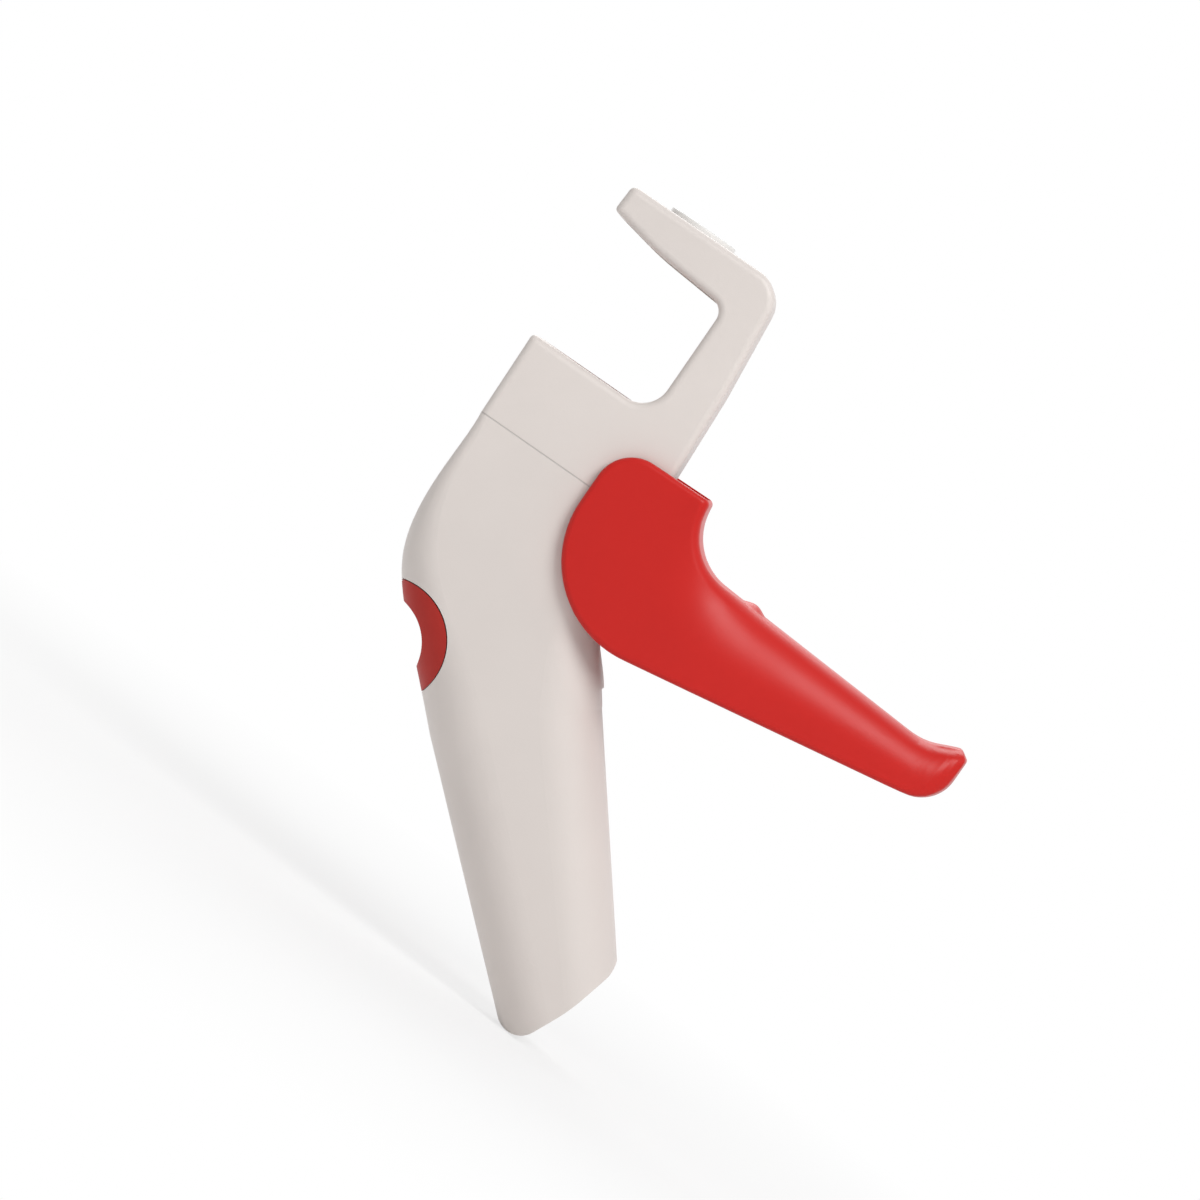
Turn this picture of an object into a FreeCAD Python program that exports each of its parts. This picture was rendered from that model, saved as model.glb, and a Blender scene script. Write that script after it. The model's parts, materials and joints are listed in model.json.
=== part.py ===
import FreeCAD, Part
import math
import os

V = FreeCAD.Vector

# A one-hand cherry pitter. The frame: the origin is the centre of the block's rim, where the fruit rests.
# +Z is the way the punch travels, +X points to the spine and the lever, and Y runs across the tool.
# All sizes are in millimetres and all angles in degrees.

# Head: a C of moulded plastic, with a block below, a spine and an arm above
BODY_WIDTH = 31.0
WALL = 2.4
EDGE_RADIUS = 1.6
BLOCK_BACK_X = -15.6
BLOCK_DEPTH = 18.8
SPINE_INNER_X = 12.9
SPINE_OUTER_X = 23.1
GAP_HEIGHT = 25.9
ARM_TIP_X = -16.4
ARM_RISE = 3.7
ARM_TOP_Z = 35.9
GAP_LOWER_RADIUS = 6.0
GAP_UPPER_RADIUS = 3.2
ARM_CORNER_RADIUS = 6.5
TIP_RADIUS = 1.0
SPIGOT_DEPTH = 5.0
SPIGOT_WALL = 1.8
SEAT_CLEARANCE = 0.15

# Well, seat and exit ring, all on the punch's line
WELL_RADIUS = 12.6
WELL_DEPTH = 4.0
SEAT_RADIUS = 10.4
SEAT_TOP_Z = -0.4
DISH_RADIUS = 14.0
DISH_DEPTH = 1.7
SEAT_HOLE_PLAY = 0.35
EXIT_RADIUS = 5.2
EXIT_WALL = 1.1
EXIT_FLANGE_RADIUS = 7.7
EXIT_FLANGE_HEIGHT = 1.1
EXIT_BOSS_WALL = 1.6

# Punch and its carrier
PUNCH_RADIUS = 2.5
PUNCH_TIP_Z = -3.0
PUNCH_FIT = 0.08
FLUTE_RADIUS = 1.0
FLUTE_LENGTH = 14.0
GUIDE_WALL = 1.5
GUIDE_FLANGE_RADIUS = 6.5
GUIDE_FLANGE = 1.0
GUIDE_LENGTH = 9.0
SPRING_WIRE = 0.9
WIRE_FLATS = 8
SPRING_TURNS = 8.5
SPRING_PLAY = 0.25
SPRING_END_GAP = 0.5
CUP_WALL = 1.3
CUP_FLOOR = 2.2
CUP_DEPTH = 6.0
TRUNNION_RADIUS = 2.0
WASHER_THICKNESS = 0.5

# Lever and crank
PIVOT_X = 33.0
PIVOT_Z = -22.0
REST_ANGLE = 34.0
CLOSING_ANGLE = 49.0
HUB_RADIUS = 21.7
CHEEK_GAP = 0.4
CHEEK = 2.4
WEB = 1.65
GRIP_EDGE = 2.0
HUB_EDGE = 1.2
NUB_HEIGHT = 0.8
CRANK_SCREW_REACH = 19.0
CRANK_SCREW_YS = (-4.5, 4.5)
TAIL_THICKNESS = 3.2
TAIL_HALF = 8.5
LEVER_TIP_X = 105.0
LEVER_TIP_WIDTH = 21.0
LEVER_SLOPE = 9.2
LEVER_FRONT_SLOPE = 0.055
NECK_RISE = 2.55
NECK_RADIUS = 12.1
PIN_RADIUS = 1.6
PIN_FIT = 0.06
BUSH_WALL = 0.8
BUSH_FLANGE = 0.6
LUG_RADIUS = 3.9
ARM_THICKNESS = 3.0
ARM_ABOVE = 4.4
ARM_BELOW = 5.6
FORK_OFFSET = 0.69
FORK_PLAY = 0.85
SIDE_PLAY = 0.4

# Handle: straight below the head, then bent back and tapered
HANDLE_LEAN = 46.75
HANDLE_AXIS_OFFSET = -27.05
HANDLE_START = 66.0
HANDLE_END = 134.0
HANDLE_START_HALF = 17.5
HANDLE_TAPER = 0.087
HANDLE_BOTTOM_WIDTH = 23.0
ELBOW_X = 26.2
ELBOW_Z = -37.8
END_LOW_ALONG = 130.8
END_MID_ALONG = 124.8
END_HIGH_ALONG = 118.4
END_CORNER_RADIUS = 5.2
END_WALL = 3.0

# Hand rest and fasteners
REST_GAP = 0.15
REST_DEPTH = 5.0
SCOOP_RADIUS = 10.0
SCREW_RADIUS = 1.1
SCREW_HEAD_RADIUS = 2.1
SCREW_HEAD_HEIGHT = 1.5
SCREW_BOSS_WALL = 1.1
SCREW_LENGTH = 16.0
# Side-view place of each shell screw, and the height of its seat above the middle plane
SCREW_PLACES = [(-10.9, -27.6, 11.0), (20.0, -47.5, 10.5), (40.5, -84.0, 8.5), (56.5, -102.0, 7.5)]
TONGUE_HALF = 3.6

# Values worked out from the ones above
HALF = BODY_WIDTH / 2
PARTING_Z = -BLOCK_DEPTH
SHELL_BACK_X = BLOCK_BACK_X + 0.4
FLOOR_TOP_Z = -WELL_DEPTH
FLOOR_BOTTOM_Z = FLOOR_TOP_Z - WALL
CHEEK_INNER = HALF + CHEEK_GAP
CHEEK_OUTER = CHEEK_INNER + CHEEK
STROKE = PIVOT_X * (math.tan(math.radians(REST_ANGLE))
                    + math.tan(math.radians(CLOSING_ANGLE - REST_ANGLE)))
TRUNNION_Z = PIVOT_Z - PIVOT_X * math.tan(math.radians(REST_ANGLE))
GUIDE_RADIUS = PUNCH_RADIUS + PUNCH_FIT + GUIDE_WALL
SPRING_INNER = GUIDE_RADIUS + SPRING_PLAY
SPRING_MEAN = SPRING_INNER + SPRING_WIRE / 2
CUP_BORE = SPRING_INNER + SPRING_WIRE + SPRING_PLAY
CUP_RADIUS = CUP_BORE + CUP_WALL
CUP_TOP_Z = TRUNNION_Z + TRUNNION_RADIUS + 1.2
CUP_FLOOR_Z = CUP_TOP_Z - CUP_DEPTH
CUP_BOTTOM_Z = CUP_FLOOR_Z - CUP_FLOOR
WASHER_Z = FLOOR_BOTTOM_Z - WASHER_THICKNESS
ARM_INNER = CUP_RADIUS + SIDE_PLAY
ARM_OUTER = ARM_INNER + ARM_THICKNESS
BUSH_RADIUS = PIN_RADIUS + PIN_FIT + BUSH_WALL
LUG_INNER = ARM_OUTER + BUSH_FLANGE + SIDE_PLAY / 2
PIN_START_Y = -CHEEK_INNER - 1.4
CRANK_SCREW_TOP_Z = PIVOT_Z + 1.8


def turn(x, z, degrees, about=(0.0, 0.0)):
    """A point of the side view, turned from +X towards +Z."""
    a = math.radians(degrees)
    dx = x - about[0]
    dz = z - about[1]
    return (about[0] + dx * math.cos(a) - dz * math.sin(a),
            about[1] + dx * math.sin(a) + dz * math.cos(a))


def rounded_wire(corners, place):
    """A closed outline with a tangent arc at each corner (a, b, radius); place makes a point of (a, b)."""
    count = len(corners)
    starts = []
    ends = []
    mids = []
    for i in range(count):
        pa, pb, _ = corners[i - 1]
        a, b, radius = corners[i]
        na, nb, _ = corners[(i + 1) % count]
        back = math.hypot(pa - a, pb - b)
        on = math.hypot(na - a, nb - b)
        ua, ub = (pa - a) / back, (pb - b) / back
        wa, wb = (na - a) / on, (nb - b) / on
        half = math.acos(max(-1.0, min(1.0, ua * wa + ub * wb))) / 2
        cut = radius / math.tan(half)
        starts.append((a + ua * cut, b + ub * cut))
        ends.append((a + wa * cut, b + wb * cut))
        middle = math.hypot(ua + wa, ub + wb)
        reach = radius / math.sin(half) - radius
        mids.append((a + (ua + wa) / middle * reach, b + (ub + wb) / middle * reach))
    edges = []
    for i in range(count):
        if corners[i][2] > 0:
            edges.append(Part.Arc(place(*starts[i]), place(*mids[i]), place(*ends[i])).toShape())
        following = starts[(i + 1) % count]
        if math.hypot(following[0] - ends[i][0], following[1] - ends[i][1]) > 1e-6:
            edges.append(Part.LineSegment(place(*ends[i]), place(*following)).toShape())
    return Part.Wire(edges)


def side_slab(corners, y0, y1):
    """A side-view outline (x, z, radius), made solid from y0 to y1."""
    wire = rounded_wire(corners, lambda x, z: V(x, y0, z))
    return Part.Face(wire).extrude(V(0, y1 - y0, 0))


def plan_slab(corners, z0, z1):
    """A plan outline (x, y, radius), made solid from z0 to z1."""
    wire = rounded_wire(corners, lambda x, y: V(x, y, z0))
    return Part.Face(wire).extrude(V(0, 0, z1 - z0))


def post(radius, z0, z1, x=0.0, y=0.0):
    """A cylinder standing along Z."""
    return Part.makeCylinder(radius, z1 - z0, V(x, y, z0), V(0, 0, 1))


def barrel(radius, y0, y1, x, z):
    """A cylinder lying across the tool."""
    return Part.makeCylinder(radius, y1 - y0, V(x, y0, z), V(0, 1, 0))


def block(x0, x1, y0, y1, z0, z1):
    """A box between two corners, for cutting."""
    return Part.makeBox(x1 - x0, y1 - y0, z1 - z0, V(x0, y0, z0))


def head_outline():
    """The C seen from the side, with the block's lower edge on the parting plane."""
    return [
        (BLOCK_BACK_X + 0.3, PARTING_Z, 0),
        (BLOCK_BACK_X - 0.15, 0, 1.0),
        (SPINE_INNER_X, 0, GAP_LOWER_RADIUS),
        (SPINE_INNER_X - 0.1, GAP_HEIGHT, GAP_UPPER_RADIUS),
        (ARM_TIP_X + 11.9, GAP_HEIGHT + 0.37 * ARM_RISE, 60),
        (ARM_TIP_X, GAP_HEIGHT + ARM_RISE, TIP_RADIUS),
        (ARM_TIP_X + 0.3, ARM_TOP_Z - 0.15, TIP_RADIUS + 0.4),
        (SPINE_OUTER_X - 2.5, ARM_TOP_Z + 0.1, ARM_CORNER_RADIUS),
        (SPINE_OUTER_X, 11.0, 60),
        (SPINE_OUTER_X + 1.5, PARTING_Z, 0),
    ]


def long_side_edges(shape, y, keep):
    """The edges that lie in the flat side at y and pass the test keep(centre)."""
    found = []
    for edge in shape.Edges:
        box = edge.BoundBox
        if abs(box.YMin - y) < 1e-4 and abs(box.YMax - y) < 1e-4 and keep(edge.CenterOfMass):
            found.append(edge)
    return found


def spigot_block(inset, radius, z0, z1):
    """A block that fills the mouth of the handle shells, drawn in by inset from their walls."""
    back = SHELL_BACK_X + WALL + inset
    front = SPINE_OUTER_X + 0.9 - WALL - inset
    half = HALF - WALL - inset
    return plan_slab([(back, -half, radius), (front, -half, radius), (front, half, radius),
                      (back, half, radius)], z0, z1)


def make_head_frame():
    body = side_slab(head_outline(), -HALF, HALF)
    edges = []
    for side in (-HALF, HALF):
        edges += long_side_edges(body, side, lambda c: c.z > PARTING_Z + 0.1)
    body = body.makeFillet(EDGE_RADIUS, edges)
    inner = HALF - WALL
    # The trough down the spine and under the arm, open to the fruit
    arm_roof = ARM_TOP_Z - WALL
    spine_back = SPINE_OUTER_X - 2.5 - WALL
    trough = side_slab([
        (0, GAP_LOWER_RADIUS, 0),
        (spine_back + 0.6, GAP_LOWER_RADIUS, 4.0),
        (spine_back - 0.4, arm_roof, 4.5),
        (ARM_TIP_X + WALL, arm_roof, 1.5),
        (ARM_TIP_X + WALL, GAP_HEIGHT - 1, 0),
        (0, GAP_HEIGHT - 1, 0),
    ], -inner, inner)
    body = body.cut(trough)
    boss = post(EXIT_RADIUS + EXIT_WALL + EXIT_BOSS_WALL, GAP_HEIGHT + 1.9, ARM_TOP_Z - 0.5)
    body = body.fuse(boss)
    # The hollow of the block, round the well and under the spine's foot
    shell_top = FLOOR_BOTTOM_Z
    hollow = plan_slab([
        (BLOCK_BACK_X + WALL, -inner, 1.0),
        (SPINE_OUTER_X + 0.9 - WALL, -inner, 1.0),
        (SPINE_OUTER_X + 0.9 - WALL, inner, 1.0),
        (BLOCK_BACK_X + WALL, inner, 1.0),
    ], PARTING_Z - 1, shell_top)
    body = body.cut(hollow)
    body = body.cut(post(WELL_RADIUS, FLOOR_TOP_Z, 1))
    # The spigot that the two handle shells close round
    outer = spigot_block(SEAT_CLEARANCE, 0.8, PARTING_Z - SPIGOT_DEPTH, PARTING_Z + 2.0)
    bore = spigot_block(SPIGOT_WALL, 0.6, PARTING_Z - SPIGOT_DEPTH - 1, PARTING_Z + 3)
    lip = outer.cut(bore)
    land = plan_slab([
        (BLOCK_BACK_X + WALL - 0.5, -inner - 0.5, 0.8),
        (SPINE_OUTER_X + 1.4 - WALL, -inner - 0.5, 0.8),
        (SPINE_OUTER_X + 1.4 - WALL, inner + 0.5, 0.8),
        (BLOCK_BACK_X + WALL - 0.5, inner + 0.5, 0.8),
    ], PARTING_Z, PARTING_Z + 2.0).cut(bore)
    body = body.fuse(land).fuse(lip)
    # The tongue that the uppermost screw passes through
    tx, tz, _ = SCREW_PLACES[0]
    tongue = block(SHELL_BACK_X + WALL + SEAT_CLEARANCE, tx + 2.0, -TONGUE_HALF, TONGUE_HALF,
                   tz - 3.0, PARTING_Z - SPIGOT_DEPTH + 1)
    body = body.fuse(tongue)
    body = body.cut(barrel(SCREW_RADIUS + 0.1, -HALF, HALF, tx, tz))
    # Holes on the punch's line, and the slot for the crank's arms
    body = body.cut(post(GUIDE_RADIUS + 0.02, FLOOR_BOTTOM_Z - 1, FLOOR_TOP_Z + 1))
    body = body.cut(post(EXIT_RADIUS + EXIT_WALL + 0.02, GAP_HEIGHT, ARM_TOP_Z + 5))
    body = body.cut(crank_slot())
    return body.removeSplitter()


def crank_slot():
    """The way the crank's two arms sweep through the front wall, with room to spare."""
    reach = ARM_OUTER + SIDE_PLAY
    run = PIVOT_X - SPINE_OUTER_X + 3.0
    low = PIVOT_Z - run * math.tan(math.radians(REST_ANGLE)) - ARM_BELOW
    high = PIVOT_Z + run * math.tan(math.radians(CLOSING_ANGLE - REST_ANGLE)) + ARM_ABOVE
    return block(SPINE_OUTER_X - 6.0, SPINE_OUTER_X + 6.0, -reach, reach, low, high)


def handle_point(along, across):
    """A point of the side view, given along and across the leaning part of the handle."""
    a = math.radians(HANDLE_LEAN)
    return (along * math.cos(a) + across * math.sin(a), -along * math.sin(a) + across * math.cos(a))


def handle_stations():
    """Back point, front point, half width and corner radius of each section, from the head down."""
    front_x = SPINE_OUTER_X + 1.5
    stations = [
        ((BLOCK_BACK_X + 0.3, PARTING_Z), (front_x, PARTING_Z), HALF, EDGE_RADIUS),
        ((SHELL_BACK_X, PARTING_Z - 10.5), (front_x + 0.5, PARTING_Z - 10.5), HALF, EDGE_RADIUS + 0.9),
        ((-14.9, -41.5), (ELBOW_X - 0.2, ELBOW_Z + 0.8), HALF, 5.0),
        ((-12.6, -50.9), (ELBOW_X + 2.2, ELBOW_Z - 4.0), HALF - 0.2, 8.0),
        ((-6.6, -59.6), (ELBOW_X + 6.4, ELBOW_Z - 8.9), HALF - 0.5, 10.5),
    ]
    stations.append(straight_station(HANDLE_START))
    stations.append(straight_station(HANDLE_START + 12.0))
    return stations


def straight_station(along):
    """A section of the leaning part; depth, width and roundness all change evenly along it."""
    share = (along - HANDLE_START) / (HANDLE_END - HANDLE_START)
    half = handle_half(along)
    half_width = HALF - 0.9 - (HALF - 0.9 - HANDLE_BOTTOM_WIDTH / 2) * share
    back = handle_point(along, HANDLE_AXIS_OFFSET - half)
    front = handle_point(along, HANDLE_AXIS_OFFSET + half)
    return back, front, half_width, 12.2 - 1.8 * share


def section_wire(station, inset):
    """A rounded rectangle across the handle at a station, drawn in by inset on every side."""
    back, front, half_width, radius = station
    length = math.hypot(front[0] - back[0], front[1] - back[1])
    along = V((front[0] - back[0]) / length, 0, (front[1] - back[1]) / length)
    origin = V(back[0], 0, back[1])
    r = max(radius - inset, 0.6)
    w = half_width - inset
    return rounded_wire(
        [(inset, -w, r), (length - inset, -w, r), (length - inset, w, r), (inset, w, r)],
        lambda a, b: origin + along * a + V(0, b, 0))


def handle_loft(inset, smooth=True):
    """The handle's form: an elbow, smooth or from section to section, then a straight taper."""
    elbow = Part.makeLoft([section_wire(s, inset) for s in handle_stations()], True, not smooth)
    ends = [straight_station(HANDLE_START), straight_station(HANDLE_END)]
    taper = Part.makeLoft([section_wire(s, inset) for s in ends], True, True)
    x, z = handle_point(HANDLE_START, HANDLE_AXIS_OFFSET)
    below = Part.makeBox(200, 200, 200, V(-100, -100, -200))
    below.rotate(V(0, 0, 0), V(0, 1, 0), -(90 - HANDLE_LEAN))
    below.translate(V(x, 0, z))
    return elbow.cut(below).fuse(taper)


def handle_half(along):
    """Half the handle's depth in the side view, at a place along its leaning part."""
    return HANDLE_START_HALF - HANDLE_TAPER * (along - HANDLE_START)


def end_slab(back_off):
    """A slab that holds the whole handle and rounds off its slanting lower end in the side view."""
    ease = 0.05
    low = END_LOW_ALONG - back_off
    middle = END_MID_ALONG - back_off
    high = END_HIGH_ALONG - back_off
    corners = []
    for along, across, radius in (
            (-70, -90, 0),
            (50, -90, 0),
            (62, HANDLE_AXIS_OFFSET - handle_half(62) - ease, 0),
            (low, HANDLE_AXIS_OFFSET - handle_half(low) - ease, END_CORNER_RADIUS),
            (middle, HANDLE_AXIS_OFFSET + 2.7, 40),
            (high, HANDLE_AXIS_OFFSET + handle_half(high) + ease, END_CORNER_RADIUS),
            (62, HANDLE_AXIS_OFFSET + handle_half(62) + ease, 0),
            (50, 60, 0),
            (-70, 60, 0)):
        x, z = handle_point(along, across)
        corners.append((x, z, radius))
    return side_slab(corners, -60, 60)


def rest_region(grow):
    """The lens that the hand rest fills in the side view, cut right across the back of the elbow."""
    top = V(-9.2 - grow, -60, -55.6 + grow)
    bulge = V(5.2 + grow, -60, -60.6 + grow)
    low = V(6.4 + grow * 0.5, -60, -72.4 - grow)
    arc = Part.Arc(top, bulge, low).toShape()
    out = V(-18, -60, -82)
    path = [Part.LineSegment(low, out).toShape(), Part.LineSegment(out, top).toShape()]
    return Part.Face(Part.Wire([arc] + path)).extrude(V(0, 120, 0))


def make_handle():
    """The handle's outer form and its cavity, before it is parted down the middle."""
    outer = handle_loft(0).common(end_slab(0))
    cavity = handle_loft(WALL, False).common(end_slab(END_WALL))
    # The cavity is open at the top, where the head's spigot goes in
    top = block(-60, 60, -60, 60, PARTING_Z - 1.0, PARTING_Z + 1)
    mouth = handle_loft(WALL, False).common(top)
    mouth.translate(V(0, 0, 0.5))
    return outer, cavity.fuse(mouth)


def pivot_lug(y0, y1):
    """The ear that carries the lever's pivot in front of the body."""
    root_x = SPINE_OUTER_X - 1.0
    top = PARTING_Z - 0.1
    plate = side_slab([
        (root_x, top, 0),
        (PIVOT_X - 0.8, PIVOT_Z + LUG_RADIUS - 0.9, 0),
        (PIVOT_X + 0.4, PIVOT_Z - LUG_RADIUS + 0.1, 0),
        (ELBOW_X - 2.0, ELBOW_Z + 3.5, 0),
        (root_x, ELBOW_Z + 3.5, 0),
    ], y0, y1)
    return plate.fuse(barrel(LUG_RADIUS, y0, y1, PIVOT_X, PIVOT_Z))


def make_handle_shell(outer, cavity, side):
    """One half of the handle; side is -1 for the right shell and 1 for the left."""
    half_space = block(-80, 100, 0, 60, -160, 20)
    if side < 0:
        half_space = block(-80, 100, -60, 0, -160, 20)
    shell = outer.cut(cavity).common(half_space)
    y0, y1 = (LUG_INNER, HALF) if side > 0 else (-HALF, -LUG_INNER)
    shell = shell.fuse(pivot_lug(y0, y1))
    shell = shell.cut(barrel(BUSH_RADIUS + 0.02, -60, 60, PIVOT_X, PIVOT_Z))
    # Screw bosses run from the wall to the middle, or to the head's tongue
    inside = outer.common(half_space)
    for index, (x, z, seat) in enumerate(SCREW_PLACES):
        stop = TONGUE_HALF + SEAT_CLEARANCE if index == 0 else 0
        y0, y1 = (stop, 60) if side > 0 else (-60, -stop)
        shell = shell.fuse(barrel(SCREW_RADIUS + SCREW_BOSS_WALL, y0, y1, x, z).common(inside))
        if side > 0:
            pocket = barrel(SCREW_HEAD_RADIUS + SCREW_BOSS_WALL, seat - 0.6, 60, x, z)
            shell = shell.fuse(pocket.common(inside))
            shell = shell.cut(barrel(SCREW_HEAD_RADIUS + 0.2, seat, 60, x, z))
        hole = SCREW_RADIUS + (0.1 if side > 0 else 0.02)
        shell = shell.cut(barrel(hole, seat - SCREW_LENGTH - 0.3, 60 if side > 0 else 0, x, z))
    shell = shell.cut(crank_slot())
    shell = shell.cut(rest_region(REST_GAP).common(rest_blank(outer, REST_DEPTH + REST_GAP)))
    return shell


def rest_blank(outer, depth):
    """The layer under the handle's skin that the hand rest is let into."""
    return outer.cut(handle_loft(depth, False))


def make_hand_rest(outer):
    """The soft saddle let into the back of the elbow, with a dish for the web of the hand."""
    saddle = rest_blank(outer, REST_DEPTH).common(rest_region(0))
    deepest = V(0.0, 0, -62.4)
    centre = deepest + V(-0.727, 0, -0.686) * SCOOP_RADIUS
    return saddle.cut(barrel(SCOOP_RADIUS, -60, 60, centre.x, centre.z))


def make_exit_collar():
    sleeve = post(EXIT_RADIUS + EXIT_WALL, GAP_HEIGHT + 1.9, ARM_TOP_Z)
    flange = post(EXIT_FLANGE_RADIUS, ARM_TOP_Z + 0.05, ARM_TOP_Z + 0.05 + EXIT_FLANGE_HEIGHT)
    rim = [e for e in flange.Edges if abs(e.CenterOfMass.z - ARM_TOP_Z - 0.05 - EXIT_FLANGE_HEIGHT) < 1e-3]
    flange = flange.makeFillet(0.4, rim)
    neck = post(EXIT_RADIUS + EXIT_WALL, ARM_TOP_Z - 1, ARM_TOP_Z + 0.5)
    ring = sleeve.fuse(neck).fuse(flange)
    return ring.cut(post(EXIT_RADIUS, 0, ARM_TOP_Z + 10)).removeSplitter()


def make_cherry_seat():
    """The soft dish that the fruit rests in, with the punch's hole."""
    height = SEAT_TOP_Z - FLOOR_TOP_Z
    body = Part.makeCone(SEAT_RADIUS, SEAT_RADIUS - 1.0, height, V(0, 0, FLOOR_TOP_Z), V(0, 0, 1))
    body = body.cut(post(GUIDE_FLANGE_RADIUS + 0.1, FLOOR_TOP_Z - 1, FLOOR_TOP_Z + GUIDE_FLANGE + 0.05))
    body = body.cut(Part.makeSphere(DISH_RADIUS, V(0, 0, SEAT_TOP_Z - DISH_DEPTH + DISH_RADIUS)))
    return body.cut(post(PUNCH_RADIUS + SEAT_HOLE_PLAY, FLOOR_TOP_Z, 1))


def make_punch_guide():
    """The flanged bush in the well's floor; it also centres the return spring."""
    flange = post(GUIDE_FLANGE_RADIUS, FLOOR_TOP_Z, FLOOR_TOP_Z + GUIDE_FLANGE)
    sleeve = post(GUIDE_RADIUS, FLOOR_TOP_Z - GUIDE_LENGTH, FLOOR_TOP_Z + GUIDE_FLANGE)
    return flange.fuse(sleeve).cut(post(PUNCH_RADIUS + PUNCH_FIT, -60, 5)).removeSplitter()


def make_spring_washer():
    disc = post(SPRING_MEAN + SPRING_WIRE / 2 + 0.05, WASHER_Z, FLOOR_BOTTOM_Z)
    return disc.cut(post(GUIDE_RADIUS + 0.1, WASHER_Z - 1, 0))


def spring_point(turned):
    """A point of the spring's centre line after so many turns; the two end turns lie closer together."""
    angle = 2 * math.pi * turned
    low = CUP_FLOOR_Z + SPRING_WIRE / 2
    high = WASHER_Z - SPRING_WIRE / 2
    closed = SPRING_WIRE + SPRING_END_GAP
    steep = (high - low - 2 * closed) / (SPRING_TURNS - 2)
    rise = closed * min(turned, 1.0)
    rise += steep * max(0.0, min(turned, SPRING_TURNS - 1) - 1.0)
    rise += closed * max(0.0, turned - (SPRING_TURNS - 1))
    return V(SPRING_MEAN * math.cos(angle), SPRING_MEAN * math.sin(angle), low + rise)


def tangent_arc(start, apex, end):
    """The arc from start to end whose end tangents meet at apex."""
    middle = (start + end) * 0.5
    half_chord = (end - start).Length / 2
    bend = math.atan2((apex - middle).Length, half_chord)
    return Part.Arc(start, middle + (apex - middle) * (math.tan(bend / 2) / math.tan(bend)), end).toShape()


def spring_path():
    """The centre line: two arcs with a common tangent for each half turn."""
    step = 0.5
    reach = 1e-4
    points = []
    tangents = []
    for i in range(int(SPRING_TURNS / step) + 1):
        here = i * step
        points.append(spring_point(here))
        before = spring_point(max(here - reach, 0.0))
        after = spring_point(min(here + reach, SPRING_TURNS))
        tangents.append((after - before).normalize())
    edges = []
    for p, q, t, u in zip(points, points[1:], tangents, tangents[1:]):
        across = q - p
        both = t + u
        bend = 2 * (1 - t.dot(u))
        lean = across.dot(both)
        length = (math.sqrt(lean * lean + bend * across.dot(across)) - lean) / bend
        first = p + t * length
        second = q - u * length
        meeting = (first + second) * 0.5
        edges.append(tangent_arc(p, first, meeting))
        edges.append(tangent_arc(meeting, second, q))
    return Part.Wire(edges)


def least_gap(path):
    """The least space between the wire's turns, measured on points of its centre line."""
    count = int(SPRING_TURNS * 48)
    points = path.discretize(count)
    apart = int(count / SPRING_TURNS / 2)
    least = min((points[i] - points[j]).Length for i in range(count) for j in range(i + apart, count))
    return least - SPRING_WIRE


def make_return_spring():
    """The wire along the coil, in one unbroken tube of eight flats."""
    path = spring_path()
    print("return_spring least gap to itself", round(least_gap(path), 3))
    start = spring_point(0)
    tangent = (spring_point(1e-4) - start).normalize()
    across = tangent.cross(V(0, 0, 1)).normalize()
    up = tangent.cross(across)
    corners = []
    for i in range(WIRE_FLATS + 1):
        a = 2 * math.pi * i / WIRE_FLATS
        corners.append(start + (across * math.cos(a) + up * math.sin(a)) * (SPRING_WIRE / 2))
    return path.makePipeShell([Part.makePolygon(corners)], True, False)


def make_punch_rod():
    """The steel rod; its crown has flutes so that the stone is gripped and juice runs off."""
    rod = post(PUNCH_RADIUS, CUP_BOTTOM_Z + 0.4, PUNCH_TIP_Z)
    tip = [e for e in rod.Edges if abs(e.CenterOfMass.z - PUNCH_TIP_Z) < 1e-3]
    rod = rod.makeChamfer(0.5, tip)
    for i in range(4):
        a = math.radians(45 + 90 * i)
        reach = PUNCH_RADIUS + 0.35
        rod = rod.cut(post(FLUTE_RADIUS, PUNCH_TIP_Z - FLUTE_LENGTH, PUNCH_TIP_Z + 1,
                           reach * math.cos(a), reach * math.sin(a)))
    return rod.cut(Part.makeCone(0, PUNCH_RADIUS - 0.9, 1.6, V(0, 0, PUNCH_TIP_Z - 1.55), V(0, 0, 1)))


def make_punch_carrier():
    """The cup that the punch stands in; the spring sits in it and the crank lifts it by two pins."""
    cup = post(CUP_RADIUS, CUP_BOTTOM_Z, CUP_TOP_Z).cut(post(CUP_BORE, CUP_FLOOR_Z, CUP_TOP_Z + 1))
    for side in (-1, 1):
        y0, y1 = (CUP_BORE + 0.2, CUP_RADIUS + 0.1) if side > 0 else (-CUP_RADIUS - 0.1, -CUP_BORE - 0.2)
        pad = barrel(TRUNNION_RADIUS + 1.1, y0, y1, 0, TRUNNION_Z)
        cup = cup.fuse(pad)
        cup = cup.cut(barrel(TRUNNION_RADIUS, y0 - 0.5, y1 + 0.5, 0, TRUNNION_Z))
    return cup.cut(post(PUNCH_RADIUS, CUP_BOTTOM_Z - 1, 5)).removeSplitter()


def make_carrier_pins():
    """Two steel studs in the cup's wall, one each side."""
    pins = []
    for side in (-1, 1):
        y0, y1 = (CUP_BORE + 0.2, ARM_OUTER) if side > 0 else (-ARM_OUTER, -CUP_BORE - 0.2)
        pins.append(barrel(TRUNNION_RADIUS, y0, y1, 0, TRUNNION_Z))
    return Part.makeCompound(pins)


def lever_bottom(x):
    """Height of the lever's lower line, which touches the hub's circle."""
    a = math.radians(LEVER_SLOPE)
    return PIVOT_Z - HUB_RADIUS / math.cos(a) + (x - PIVOT_X) * math.tan(a)


def web_outside(x):
    """Height of the lever's front edge beyond the neck."""
    return PIVOT_Z + NECK_RISE - LEVER_FRONT_SLOPE * (x - PIVOT_X)


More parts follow.
